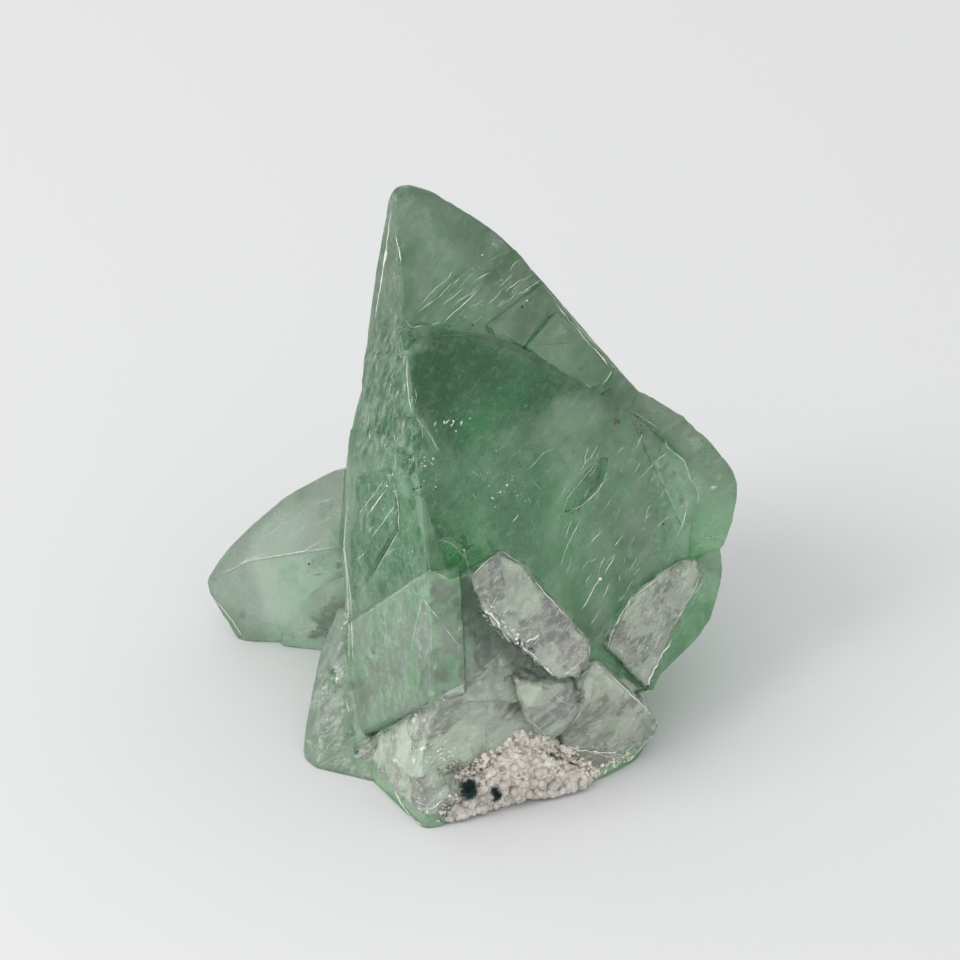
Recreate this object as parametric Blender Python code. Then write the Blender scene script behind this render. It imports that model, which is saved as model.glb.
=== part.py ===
"""Green apophyllite specimen: one cluster of intergrown crystals with a crust of matrix at its foot.

Sizes are real, in millimetres in this source and metres in the model. +Z is up, the specimen stands on
z = 0, and its front faces -Y.
"""

import math

import bmesh
import bpy
from mathutils import Matrix, Vector

MM = 0.001

# A corner is given as it lines up for someone who looks at the front of the specimen: mm across, mm up in
# that view, and its depth in mm from front (-) to back (+).
SIGHT_ANGLE = math.radians(35.0)  # how far above the horizon they look from
SIGHT_UP = Vector((0.0, math.sin(SIGHT_ANGLE), math.cos(SIGHT_ANGLE)))
SIGHT_BACK = Vector((0.0, -math.cos(SIGHT_ANGLE), math.sin(SIGHT_ANGLE)))
VIEW_MIDDLE = Vector((0.7, 1.15, 26.05))
VIEW_ACROSS, VIEW_UP = 0.7, 22.0  # what lines up with the middle of the view
EYE_DISTANCE = 900.0
EYE = VIEW_MIDDLE + SIGHT_BACK * EYE_DISTANCE

EDGE_WEAR = 0.28  # how far the edges between faces are worn back
SHARPEST = 0.3  # sine of the sharpest face corner that wears as much as the others
SAME_FACE = math.radians(2.0)  # hull faces closer than this in slope are one crystal face
LAYER_ROOT = 3.0  # how far a growth layer reaches into the face that it grew on
CHIP_DEPTH = 0.45
UNDER = -0.5  # corners that stay this far under a great face don't show through it
CONTACT_GAP = 0.3  # between the crystals, the crust and the tufts on it
AT_TABLE = 0.1  # a corner no farther than this from the table stands on it
CUT_DEPTH = 1.0  # how far what stands on the table goes on under it before the cut
CUTTER_SIZE = 120.0
APOPHYLLITE_IOR = 1.535
ORIGIN = Vector((-0.2715, 0.7123, 0.0))  # the middle of the specimen's foot, where the model's origin goes


def sight_line(across, up):
    """From the eye through a point of the view."""
    aim = VIEW_MIDDLE + Vector((across - VIEW_ACROSS, 0.0, 0.0)) + SIGHT_UP * (up - VIEW_UP)
    return aim - EYE


def seen(across, up, depth):
    """A corner from where it lines up and how deep it lies."""
    line = sight_line(across, up)
    return EYE + line * ((depth - EYE.y) / line.y)


def on_table(across, up):
    """The point of the table in that line of sight."""
    line = sight_line(across, up)
    return EYE + line * (-EYE.z / line.z)


class Face:
    """A flat crystal face through three corners, with its normal towards the front."""

    def __init__(self, *corners):
        a, b, c = corners
        self.point = a
        self.normal = (b - a).cross(c - a).normalized()
        if self.normal.y > 0:
            self.normal.negate()

    def at(self, across, up, raised=0.0):
        """The point of this face in a line of sight, raised along the normal."""
        line = sight_line(across, up)
        reach = (self.point - EYE).dot(self.normal) / line.dot(self.normal)
        return EYE + line * reach + self.normal * raised

    def layer(self, raised, outline):
        """The corners of a growth layer with this outline."""
        return [self.at(a, u, r) for a, u in outline for r in (raised, -LAYER_ROOT)]


# The two ridges, and the great faces that meet at them. The spire and the front crystal grew parallel.
SPIRE_RIDGE = (seen(-7.9, 50.5, 4.5), seen(-7.0, 38.2, -2.0))
SPIRE_RIGHT = Face(*SPIRE_RIDGE, seen(17.1, 30.0, 10.5))
SPIRE_LEFT = Face(*SPIRE_RIDGE, seen(-12.6, 25.4, 4.0))
FRONT_RIDGE = (seen(-6.3, 34.8, -5.0), seen(-3.4, 0.0, -22.0))
FRONT_RIGHT = Face(*FRONT_RIDGE, seen(21.1, 24.3, 8.0))
FRONT_LEFT = Face(*FRONT_RIDGE, seen(-12.8, 23.6, 3.2))


def spire():
    """The tall pyramid behind, with its blunt tip to the left."""
    return [
        SPIRE_LEFT.at(-8.5, 50.2),
        SPIRE_RIGHT.at(-7.9, 50.5),
        seen(-7.6, 51.5, 5.6),
        seen(-6.2, 51.6, 6.6),
        SPIRE_RIGHT.at(-3.7, 50.9),
        SPIRE_RIGHT.at(-1.2, 49.2),
        SPIRE_RIGHT.at(1.7, 47.3),
        SPIRE_RIGHT.at(3.9, 45.5),
        SPIRE_RIGHT.at(8.4, 39.8),
        SPIRE_RIGHT.at(17.1, 30.4),
        SPIRE_LEFT.at(-9.7, 43.3),
        SPIRE_LEFT.at(-10.5, 37.2),
        SPIRE_LEFT.at(-10.9, 33.0),
        SPIRE_LEFT.at(-12.3, 23.0, UNDER),
        SPIRE_RIGHT.at(-6.8, 36.4),
        Vector((-5.0, -9.0, 28.0)),
        seen(-6.0, 50.2, 9.4),
        Vector((-8.0, 15.0, 24.0)),
        Vector((2.0, 20.0, 26.0)),
        Vector((12.0, 17.0, 25.0)),
        Vector((-9.0, 11.0, 5.0)),
        Vector((1.0, 16.0, 4.0)),
        Vector((12.0, 10.0, 6.0)),
        Vector((0.0, -6.0, 5.0)),
    ]


def front_crystal():
    """The broad crystal in front, with its ridge running down from its top left."""
    return [
        FRONT_RIGHT.at(-6.3, 34.8),
        FRONT_RIGHT.at(-5.4, 34.9),
        FRONT_RIGHT.at(-4.3, 36.6),
        FRONT_RIGHT.at(1.9, 36.9),
        FRONT_RIGHT.at(6.0, 34.7),
        FRONT_RIGHT.at(11.7, 31.1),
        FRONT_RIGHT.at(15.4, 29.1),
        FRONT_RIGHT.at(19.0, 25.8),
        FRONT_RIGHT.at(21.2, 24.3),
        FRONT_RIGHT.at(22.5, 20.8),
        FRONT_RIGHT.at(21.6, 15.5),
        FRONT_RIGHT.at(21.0, 10.0),
        FRONT_RIGHT.at(17.3, 0.9),
        FRONT_RIGHT.at(12.0, 0.0),
        FRONT_RIGHT.at(4.0, 0.5),
        FRONT_RIGHT.at(-3.4, 0.0),
        FRONT_LEFT.at(-9.9, 34.4),
        FRONT_LEFT.at(-11.2, 31.5),
        FRONT_LEFT.at(-12.0, 28.0),
        FRONT_LEFT.at(-12.7, 24.0),
        FRONT_LEFT.at(-13.1, 15.2),
        FRONT_LEFT.at(-12.7, 7.2),
        FRONT_LEFT.at(-12.6, 0.9),
        FRONT_LEFT.at(-11.5, -3.4),
        Vector((-8.0, 10.0, 24.0)),
        Vector((12.0, 14.0, 20.0)),
        Vector((18.0, 11.0, 17.0)),
        Vector((14.0, 6.0, 3.0)),
        Vector((-9.0, 8.0, 3.0)),
    ]


def rear_right_crystal():
    """The pale rounded shoulder that shows past the right of the front crystal."""
    return [
        seen(16.4, 31.1, 10.8),
        seen(17.4, 30.0, 10.0),
        seen(19.4, 29.2, 9.6),
        seen(21.4, 28.2, 9.2),
        seen(23.4, 26.3, 8.6),
        seen(25.3, 23.9, 8.0),
        seen(26.5, 22.0, 7.4),
        seen(26.4, 19.6, 6.8),
        seen(25.6, 17.0, 6.0),
        seen(24.9, 15.0, 5.2),
        seen(18.0, 12.0, 3.0),
        seen(13.0, 27.0, 8.0),
        Vector((23.0, 14.0, 18.0)),
        Vector((17.0, 17.0, 20.0)),
        Vector((9.0, 18.0, 24.0)),
        Vector((19.0, 12.0, 9.0)),
        Vector((8.0, 12.0, 8.0)),
    ]


def lower_right_crystal():
    """The lobe under that shoulder; it overhangs the table."""
    return [
        seen(24.8, 15.4, 5.4),
        seen(25.0, 13.0, 4.2),
        seen(24.8, 11.0, 2.8),
        seen(23.9, 7.9, 0.6),
        seen(22.6, 6.4, -1.0),
        seen(21.1, 5.4, -2.4),
        seen(18.9, 4.3, -4.4),
        seen(17.4, 1.2, -6.6),
        seen(15.0, 8.0, -4.0),
        seen(15.0, 0.0, -5.0),
        Vector((21.0, 9.0, 10.0)),
        Vector((14.0, 13.0, 12.0)),
        Vector((14.0, 11.0, 4.0)),
        Vector((12.0, 6.0, 1.5)),
    ]


def left_blade():
    """The pale crystal that points left; it stands on the table behind the others."""
    return [
        seen(-26.7, 12.0, 12.0),
        seen(-26.5, 10.8, 11.8),
        seen(-25.4, 14.3, 12.6),
        seen(-22.3, 17.5, 12.4),
        seen(-19.0, 20.2, 11.6),
        seen(-14.7, 22.6, 10.4),
        seen(-12.6, 23.6, 9.0),
        seen(-24.5, 8.5, 11.4),
        on_table(-23.2, 6.1),
        on_table(-19.2, 6.0),
        seen(-26.1, 12.3, 11.2),
        seen(-13.2, 15.4, 4.4),
        on_table(-12.0, 5.8),
        Vector((-21.0, 16.5, 8.0)),
        Vector((-17.5, 17.0, 12.0)),
        Vector((-20.0, 15.0, 0.0)),
        Vector((-11.0, 17.0, 0.0)),
        Vector((-10.0, 14.0, 16.0)),
        Vector((-6.0, 8.0, 4.0)),
    ]


def left_blade_spur():
    """The short layer under the left blade that ends a little lower than it."""
    return [
        on_table(-19.4, 5.6),
        on_table(-15.2, 5.2),
        seen(-18.8, 10.0, 8.6),
        seen(-12.4, 12.5, 4.4),
        on_table(-12.0, 4.8),
        Vector((-17.0, 14.0, 4.0)),
        Vector((-9.0, 13.0, 0.0)),
        Vector((-8.0, 8.0, 8.0)),
    ]


def left_foot():
    """The grey foot to the left; it carries the specimen there."""
    return [
        seen(-13.4, 9.4, -0.6),
        seen(-15.2, 5.3, -2.2),
        seen(-15.8, 1.3, -4.6),
        seen(-16.7, -2.3, -7.4),
        seen(-17.1, -4.9, -10.0),
        on_table(-16.7, -6.0),
        on_table(-15.8, -6.8),
        on_table(-12.6, -7.3),
        on_table(-9.8, -8.2),
        seen(-11.4, -4.6, -10.0),
        seen(-12.6, 2.0, -6.4),
        seen(-12.6, 9.0, -2.4),
        Vector((-12.0, 5.0, 7.0)),
        Vector((-13.0, 3.0, 0.0)),
        Vector((-7.0, 2.0, 0.0)),
        Vector((-6.0, 0.0, 8.0)),
    ]


def pale_base():
    """The pale body under the great faces, down to the toe in front."""
    return [
        FRONT_LEFT.at(-11.4, -3.2, UNDER),
        FRONT_LEFT.at(-4.2, 1.5, UNDER),
        FRONT_RIGHT.at(-2.6, 1.5, UNDER),
        FRONT_RIGHT.at(3.7, 5.8, UNDER),
        FRONT_RIGHT.at(9.5, 4.0, UNDER),
        on_table(-10.1, -8.0),
        on_table(-7.9, -9.0),
        on_table(-6.5, -11.5),
        on_table(-4.9, -12.8),
        on_table(-3.6, -12.7),
        on_table(-1.6, -11.4),
        seen(-5.4, -7.0, -21.6),
        seen(4.0, -6.0, -17.0),
        seen(11.0, -5.4, -13.6),
        on_table(12.0, -6.8),
        Vector((10.0, 2.0, 0.0)),
        Vector((-6.0, 2.0, 0.0)),
    ]


def grey_facet():
    """The small grey crystal end between the clear block and the crust."""
    return [
        seen(7.3, 1.3, -17.0),
        seen(5.2, -1.8, -18.6),
        seen(7.5, -4.1, -17.4),
        seen(9.0, -3.4, -16.4),
        seen(10.6, -1.4, -15.4),
        seen(10.2, 1.6, -14.8),
        seen(4.0, 2.4, -16.6),
        Vector((4.0, -10.0, 4.0)),
        Vector((10.0, -8.0, 4.0)),
        Vector((5.0, -6.0, 14.0)),
    ]


def lower_right_pyramid():
    """The low pyramid at the bottom right, with a bright ridge across its top."""
    return [
        seen(12.0, 3.7, -13.4),
        seen(18.2, -1.5, -9.2),
        seen(18.5, -2.4, -8.8),
        seen(17.8, -4.0, -9.4),
        on_table(15.7, -6.2),
        on_table(13.9, -7.3),
        on_table(11.9, -8.1),
        seen(11.8, -5.2, -14.8),
        seen(8.9, -4.1, -15.7),
        seen(10.5, -1.2, -15.4),
        on_table(9.4, -7.2),
        seen(8.0, 2.0, -12.0),
        Vector((13.0, 0.0, 0.0)),
        Vector((5.0, 0.0, 0.0)),
        Vector((14.0, 1.0, 6.0)),
    ]


def clear_block():
    """The colourless prism that lies across the front."""
    return [
        seen(2.5, 14.9, -13.4),
        seen(5.1, 13.7, -12.6),
        seen(6.4, 11.7, -12.2),
        seen(11.5, 6.1, -12.6),
        seen(11.5, 3.1, -14.4),
        seen(10.4, 2.3, -16.2),
        seen(8.2, 2.2, -17.4),
        seen(4.2, 5.8, -18.2),
        seen(1.8, 8.2, -18.6),
        seen(0.8, 9.0, -18.4),
        seen(0.2, 11.3, -17.4),
        seen(-0.2, 12.6, -16.6),
        seen(4.5, 8.0, -8.0),
        seen(9.0, 4.0, -9.0),
        seen(1.0, 10.0, -11.0),
    ]


def layers():
    """Growth layers on the great faces."""
    return {
        "lower_left_layer": FRONT_LEFT.layer(0.9, [
            (-12.8, 7.3), (-4.7, 12.8), (-3.9, 12.9), (-3.2, 0.2), (-11.6, -4.0), (-12.9, 0.9)]),
        "lower_right_layer": FRONT_RIGHT.layer(0.55, [
            (-2.9, 11.8), (-0.5, 13.0), (2.8, 15.0), (6.6, 12.0), (8.0, 6.0), (3.7, 5.2), (-0.4, 2.5),
            (-2.8, 0.6)]),
        "leaf_layer": FRONT_LEFT.layer(0.4, [
            (-8.3, 23.2), (-7.4, 20.1), (-7.4, 17.0), (-10.1, 12.5), (-11.5, 14.0), (-11.3, 22.5)]),
        "ridge_splinter": FRONT_RIGHT.layer(0.35, [
            (-6.1, 28.4), (-5.4, 28.0), (-3.4, 24.9), (-4.2, 23.4), (-5.9, 25.0)]),
        "right_rim": FRONT_RIGHT.layer(0.35, [
            (15.5, 28.8), (19.0, 25.9), (21.2, 24.1), (22.3, 20.8), (21.0, 17.2), (20.2, 18.6)]),
        "clear_blade": FRONT_RIGHT.layer(1.1, [
            (20.6, 14.1), (22.0, 13.8), (22.8, 12.3), (20.3, 7.6), (17.4, 0.8), (16.6, 1.9), (13.0, 5.3),
            (14.6, 8.9), (17.0, 11.6)]),
        "upper_terrace": SPIRE_RIGHT.layer(0.35, [
            (-6.3, 37.6), (1.8, 46.2), (3.0, 45.9), (3.4, 45.2), (-2.1, 37.2)]),
        "middle_terrace": SPIRE_RIGHT.layer(0.55, [
            (1.2, 37.4), (6.8, 41.6), (8.2, 39.8), (4.8, 35.2), (2.0, 35.8)]),
        "lower_terrace": SPIRE_RIGHT.layer(0.85, [
            (4.9, 35.2), (8.0, 38.7), (14.0, 33.1), (13.6, 31.2), (11.7, 30.0), (6.7, 33.0)]),
    }


def lens_chip():
    """The shallow lens-shaped hollow in the great right face."""
    outline = [(9.1, 18.7), (9.5, 21.4), (12.7, 24.3), (13.6, 24.1), (13.1, 21.9), (10.4, 18.7)]
    return [FRONT_RIGHT.at(a, u, raised) for a, u in outline for raised in (-CHIP_DEPTH, CHIP_DEPTH * 4)]


def rear_pyramid():
    """The pyramid at the back; it leans away from the spire."""
    return [
        Vector((6.0, 22.0, 36.0)),
        Vector((7.2, 21.6, 35.4)),
        Vector((-6.0, 15.0, 20.0)),
        Vector((3.0, 24.0, 15.0)),
        Vector((16.0, 18.0, 18.0)),
        Vector((4.0, 8.0, 33.0)),
        Vector((-4.0, 18.0, -1.6)),
        Vector((4.0, 21.0, -1.6)),
        Vector((13.0, 15.0, -1.6)),
        Vector((4.0, 6.0, -1.6)),
    ]


def rear_left_crystal():
    """A smaller one at the back left, between the spire and the left blade."""
    return [
        Vector((-12.0, 21.0, 13.5)),
        Vector((-11.0, 21.4, 12.6)),
        Vector((-15.0, 17.0, 6.0)),
        Vector((-5.0, 22.0, 6.0)),
        Vector((-6.0, 12.0, 18.0)),
        Vector((-13.0, 17.0, -2.2)),
        Vector((-6.0, 20.0, -2.2)),
        Vector((-5.0, 10.0, -2.2)),
        Vector((-13.0, 11.0, 4.0)),
    ]


def crust_left():
    """The crust from the toe to the middle of the front."""
    return [
        on_table(-2.9, -12.3),
        on_table(-1.6, -11.5),
        on_table(0.2, -10.2),
        on_table(3.2, -10.2),
        on_table(5.0, -9.9),
        seen(-1.6, -9.0, -20.2),
        seen(-0.6, -7.0, -18.9),
        seen(2.6, -5.8, -18.2),
        seen(5.2, -4.4, -17.2),
        seen(5.8, -8.6, -17.8),
        Vector((-1.0, -13.0, 2.0)),
        Vector((5.0, -12.0, 0.0)),
        Vector((4.0, -13.0, 4.0)),
    ]


def crust_right():
    """The crust from there to the low pyramid."""
    return [
        on_table(4.2, -9.9),
        on_table(6.6, -9.9),
        on_table(7.8, -9.2),
        on_table(9.8, -9.2),
        on_table(11.0, -8.9),
        on_table(11.8, -8.0),
        seen(5.2, -4.6, -17.2),
        seen(6.7, -6.6, -17.2),
        seen(11.4, -7.3, -14.8),
        seen(7.0, -8.8, -17.4),
        Vector((4.0, -12.0, 0.0)),
        Vector((10.0, -11.0, 0.0)),
        Vector((6.0, -13.0, 3.0)),
    ]


TUFT_LARGE = {"middle": seen(-0.5, -8.8, -20.2), "radii": (1.0, 0.9, 1.3)}
TUFT_SMALL = {"middle": seen(2.2, -9.3, -19.3), "radii": (0.75, 0.8, 0.9)}


def grown(corners, distance):
    """Corners of the same shape with every face moved out by a distance."""
    ball = bmesh.new()
    bmesh.ops.create_icosphere(ball, subdivisions=2, radius=distance)
    offsets = [v.co.copy() for v in ball.verts]
    ball.free()
    return [corner + offset for corner in corners for offset in offsets]


def below_table(corners):
    """The corners on the table once more under it, so that the cut along the table is clean."""
    return [corner - Vector((0.0, 0.0, CUT_DEPTH)) for corner in corners if abs(corner.z) < AT_TABLE]


def hull_shape(corners):
    """The convex shape around these corners, in triangles."""
    shape = bmesh.new()
    for corner in corners:
        shape.verts.new(corner)
    hull = bmesh.ops.convex_hull(shape, input=shape.verts)
    inside = {v for v in hull["geom_interior"] + hull["geom_unused"] if isinstance(v, bmesh.types.BMVert)}
    bmesh.ops.delete(shape, geom=list(inside), context="VERTS")
    return shape


def drawn_in(face, distance):
    """The corners of a face moved in from its edges, or none if it is too narrow for that."""
    corners = [v.co for v in face.verts]
    count = len(corners)
    moved = []
    for i, corner in enumerate(corners):
        ahead = (corners[(i + 1) % count] - corner).normalized()
        behind = (corners[i - 1] - corner).normalized()
        moved.append(corner + (ahead + behind) * distance / max(ahead.cross(behind).length, SHARPEST))
    sides = [(i, (i + 1) % count) for i in range(count)]
    if any((moved[j] - moved[i]).dot(corners[j] - corners[i]) <= 0 for i, j in sides):
        return []
    return moved


def worn(corners, distance):
    """The corners of the same shape after its edges have worn flat."""
    shape = hull_shape(corners)
    bmesh.ops.dissolve_limit(shape, angle_limit=SAME_FACE, verts=shape.verts, edges=shape.edges)
    moved = [point for face in shape.faces for point in drawn_in(face, distance)]
    shape.free()
    return moved


def hull_mesh(name, corners, wear=EDGE_WEAR):
    """A convex crystal through these corners, with its edges worn."""
    corners = corners + below_table(corners)
    shape = hull_shape(worn(corners, wear) if wear else corners)
    shape.transform(Matrix.Scale(MM, 4) @ Matrix.Translation(-ORIGIN))
    bmesh.ops.recalc_face_normals(shape, faces=shape.faces)
    return finished_mesh(name, shape)


def ellipsoid_mesh(name, middle, radii):
    shape = bmesh.new()
    bmesh.ops.create_uvsphere(shape, u_segments=20, v_segments=12, radius=1.0)
    shape.transform(Matrix.Translation((middle - ORIGIN) * MM) @ Matrix.Diagonal((*(Vector(radii) * MM), 1.0)))
    return finished_mesh(name, shape)


def finished_mesh(name, shape):
    mesh = bpy.data.meshes.new(name)
    shape.to_mesh(mesh)
    shape.free()
    return mesh


def material(name, colour, roughness, transmission=0.0):
    """A plain finish for one piece."""
    made = bpy.data.materials.new(name)
    made.use_nodes = True
    shader = made.node_tree.nodes["Principled BSDF"]
    shader.inputs["Base Color"].default_value = (*colour, 1.0)
    shader.inputs["Roughness"].default_value = roughness
    shader.inputs["Metallic"].default_value = 0.0
    shader.inputs["Transmission Weight"].default_value = transmission
    shader.inputs["IOR"].default_value = APOPHYLLITE_IOR
    return made


def add_object(name, mesh, finish=None):
    made = bpy.data.objects.new(name, mesh)
    bpy.context.scene.collection.objects.link(made)
    if finish:
        mesh.materials.append(finish)
    return made


def helper(name, mesh):
    """A shape that joins or cuts another and isn't a piece itself."""
    made = add_object(name, mesh)
    made.hide_render = True
    made.display_type = "WIRE"
    return made


def clearance(name, corners):
    """A cutter that leaves the contact gap around the shape with these corners."""
    return helper(f"{name}_clearance", hull_mesh(f"{name}_clearance", grown(corners, CONTACT_GAP), 0.0))


def boolean(target, operation, other):
    modifier = target.modifiers.new(f"{operation.lower()} {other.name}", "BOOLEAN")
    modifier.operation = operation
    modifier.object = other
    modifier.solver = "EXACT"


def table_cutter():
    """Everything under the table."""
    shape = bmesh.new()
    bmesh.ops.create_cube(shape, size=CUTTER_SIZE * MM)
    shape.transform(Matrix.Translation((0.0, 0.0, -CUTTER_SIZE / 2 * MM)))
    return helper("table_cutter", finished_mesh("table_cutter", shape))


def crystal_cluster(table, recess, finish):
    """All the crystals that grew into each other, as one solid standing on the table."""
    crystals = {
        "front_crystal": front_crystal(),
        "rear_right_crystal": rear_right_crystal(),
        "lower_right_crystal": lower_right_crystal(),
        "left_blade": left_blade(),
        "left_blade_spur": left_blade_spur(),
        "left_foot": left_foot(),
        "pale_base": pale_base(),
        "grey_facet": grey_facet(),
        "lower_right_pyramid": lower_right_pyramid(),
        "clear_block": clear_block(),
        "rear_pyramid": rear_pyramid(),
        "rear_left_crystal": rear_left_crystal(),
        **layers(),
    }
    cluster = add_object("crystal_cluster", hull_mesh("crystal_cluster", spire()), finish)
    grown_together = bpy.data.collections.new("grown_together")
    bpy.context.scene.collection.children.link(grown_together)
    for name, corners in crystals.items():
        grown_together.objects.link(helper(name, hull_mesh(name, corners)))
    join = cluster.modifiers.new("grown together", "BOOLEAN")
    join.operation = "UNION"
    join.operand_type = "COLLECTION"
    join.collection = grown_together
    join.solver = "EXACT"
    boolean(cluster, "DIFFERENCE", helper("lens_chip", hull_mesh("lens_chip", lens_chip())))
    for cutter in [table, *recess]:
        boolean(cluster, "DIFFERENCE", cutter)


def matrix_crust(table, finish):
    """The grains of matrix under the front, as two lumps in one."""
    crust = add_object("matrix_crust", hull_mesh("matrix_crust", crust_left()), finish)
    boolean(crust, "UNION", helper("crust_right", hull_mesh("crust_right", crust_right())))
    boolean(crust, "DIFFERENCE", table)


def tuft(name, size, keep_clear, finish):
    """A tuft of fine fibres on the crust, as the dome that it fills."""
    dome = add_object(name, ellipsoid_mesh(name, size["middle"], size["radii"]), finish)
    for cutter in keep_clear:
        boolean(dome, "DIFFERENCE", cutter)


def main():
    for old in list(bpy.data.objects):
        bpy.data.objects.remove(old, do_unlink=True)
    table = table_cutter()
    recess = [clearance("crust_left", crust_left()), clearance("crust_right", crust_right())]
    around_tufts = [table, clearance("pale_base", pale_base()), *recess]
    crystal_cluster(table, recess, material("apophyllite_green", (0.36, 0.55, 0.40), 0.15, 0.85))
    matrix_crust(table, material("matrix_beige", (0.52, 0.46, 0.40), 0.8))
    celadonite = material("celadonite_dark_green", (0.012, 0.05, 0.04), 0.9)
    tuft("celadonite_tuft_large", TUFT_LARGE, around_tufts, celadonite)
    tuft("celadonite_tuft_small", TUFT_SMALL, around_tufts, celadonite)


main()
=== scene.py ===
"""Looks of the green apophyllite specimen: milky green crystals on a trace of granular matrix.

Work is in millimetres in the model's own frame, and is scaled to metres as each mesh is made.
"""

import math

import bpy
import numpy as np
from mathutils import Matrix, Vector
from mathutils.bvhtree import BVHTree
from mathutils.geometry import delaunay_2d_cdt


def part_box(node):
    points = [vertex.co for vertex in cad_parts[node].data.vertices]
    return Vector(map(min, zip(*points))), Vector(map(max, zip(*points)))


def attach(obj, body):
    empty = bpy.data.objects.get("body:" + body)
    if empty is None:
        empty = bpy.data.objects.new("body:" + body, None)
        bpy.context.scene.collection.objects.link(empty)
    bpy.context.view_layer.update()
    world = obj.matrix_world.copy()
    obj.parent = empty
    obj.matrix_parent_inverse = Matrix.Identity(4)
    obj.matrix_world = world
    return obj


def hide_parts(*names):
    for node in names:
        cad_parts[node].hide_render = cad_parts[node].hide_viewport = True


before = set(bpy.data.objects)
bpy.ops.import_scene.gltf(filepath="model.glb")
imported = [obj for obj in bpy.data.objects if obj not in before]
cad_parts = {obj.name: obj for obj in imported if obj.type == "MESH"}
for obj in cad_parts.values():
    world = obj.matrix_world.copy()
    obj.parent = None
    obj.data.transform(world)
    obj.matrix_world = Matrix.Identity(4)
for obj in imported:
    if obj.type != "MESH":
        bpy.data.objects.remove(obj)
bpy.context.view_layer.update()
MM = 0.001

# The line of sight of the photograph: its middle point on the specimen, its slope and its distance.
SIGHT_SLOPE = math.radians(35.0)
SIGHT_UP = np.array([0.0, math.sin(SIGHT_SLOPE), math.cos(SIGHT_SLOPE)])
SIGHT_BACK = np.array([0.0, -math.cos(SIGHT_SLOPE), math.sin(SIGHT_SLOPE)])
VIEW_MIDDLE = np.array([0.9715, 0.4377, 26.05])
EYE_DISTANCE = 900.0
EYE = VIEW_MIDDLE + SIGHT_BACK * EYE_DISTANCE
PIXELS_PER_MM = 10.0
HALF_VIEW = 480.0

CELL = 0.40  # how finely the crystals' faces are divided
CRUST_CELL = 0.26
MOST_POINTS = 400000
SAME_FACE = math.cos(math.radians(0.6))
CREASE = math.radians(24.0)


# Points, noise and the photograph's line of sight

def unit(vectors):
    """Each row over its own length."""
    return vectors / np.maximum(np.linalg.norm(vectors, axis=-1, keepdims=True), 1e-12)


def smooth(low, high, x):
    """0 under low, 1 over high, and the cubic 3t^2 - 2t^3 between them."""
    t = np.clip((x - low) / (high - low), 0.0, 1.0)
    return t * t * (3.0 - 2.0 * t)


def lattice_value(cell, seed):
    """A fixed value from -1 to 1 for each whole-number cell, by mixing its three numbers' bits."""
    mixed = (cell[..., 0] * 73856093) ^ (cell[..., 1] * 19349663)
    mixed = mixed ^ (cell[..., 2] * 83492791) ^ (seed * 2654435)
    mixed = (mixed ^ (mixed >> 13)) * 1274126177 & 0xFFFFFFFF
    mixed = (mixed ^ (mixed >> 15)) * 2246822519 & 0xFFFFFFFF
    return (mixed & 0xFFFFFF) / 8388607.5 - 1.0


def noise(points, size, seed):
    """Value noise from -1 to 1: cell corners carry fixed values, blended by 3t^2 - 2t^3 along each axis."""
    scaled = points / size
    low = np.floor(scaled).astype(np.int64)
    t = scaled - low
    t = t * t * (3.0 - 2.0 * t)
    total = np.zeros(len(points))
    for corner in np.ndindex(2, 2, 2):
        share = np.prod(np.where(np.array(corner) == 1, t, 1.0 - t), axis=-1)
        total += share * lattice_value(low + np.array(corner), seed)
    return total


def layered_noise(points, size, seed, layers=3):
    """Sum of value noises, each half as large and half as strong as the last."""
    return sum(noise(points, size / 2 ** k, seed + k) / 2 ** k for k in range(layers))


def broken_facets(points, size, seed):
    """Heights of a broken face: in each cell of an uneven net the face is one tilted plane.

    A cell's middle is its lattice corner moved at random. The height at a point is the nearest cell's own
    lift plus its own slope times the way from its middle."""
    scaled = points / size
    low = np.floor(scaled).astype(np.int64)
    nearest = np.full(len(points), np.inf)
    height = np.zeros(len(points))
    for shift in np.ndindex(3, 3, 3):
        cell = low + np.array(shift) - 1
        own = np.stack([lattice_value(cell, seed + k) for k in range(7)], axis=1)
        way = scaled - cell - 0.5 - 0.42 * own[:, :3]
        reach = (way ** 2).sum(axis=1)
        closer = reach < nearest
        nearest = np.where(closer, reach, nearest)
        height = np.where(closer, 0.35 * own[:, 6] + (own[:, 3:6] * way).sum(axis=1), height)
    return height * size


def seen_at(points):
    """Where points line up in the photograph, in its pixels."""
    offset = points - VIEW_MIDDLE
    reach = EYE_DISTANCE / (EYE_DISTANCE - offset @ SIGHT_BACK) * PIXELS_PER_MM
    return np.stack([HALF_VIEW + offset[:, 0] * reach, HALF_VIEW - offset @ SIGHT_UP * reach], axis=1)


# The crystals' surface

def merged_node(name):
    """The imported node's points in mm, with doubles merged, and its triangles."""
    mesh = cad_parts[name].data
    mesh.calc_loop_triangles()
    points = np.empty(len(mesh.vertices) * 3)
    mesh.vertices.foreach_get("co", points)
    triangles = np.empty(len(mesh.loop_triangles) * 3, np.int64)
    mesh.loop_triangles.foreach_get("vertices", triangles)
    _, first, same = np.unique(
        np.round(points.reshape(-1, 3) / MM, 3), axis=0, return_index=True, return_inverse=True)
    triangles = same.reshape(-1)[triangles].reshape(-1, 3)
    a, b, c = triangles.T
    return points.reshape(-1, 3)[first] / MM, triangles[(a != b) & (b != c) & (a != c)]


def edge_table(triangles):
    """Edges as sorted pairs of points, and for each triangle the numbers of its three edges."""
    pairs = np.sort(triangles[:, [[0, 1], [1, 2], [2, 0]]].reshape(-1, 2), axis=1)
    edges, numbers = np.unique(pairs, axis=0, return_inverse=True)
    return edges, numbers.reshape(-1, 3)


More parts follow.
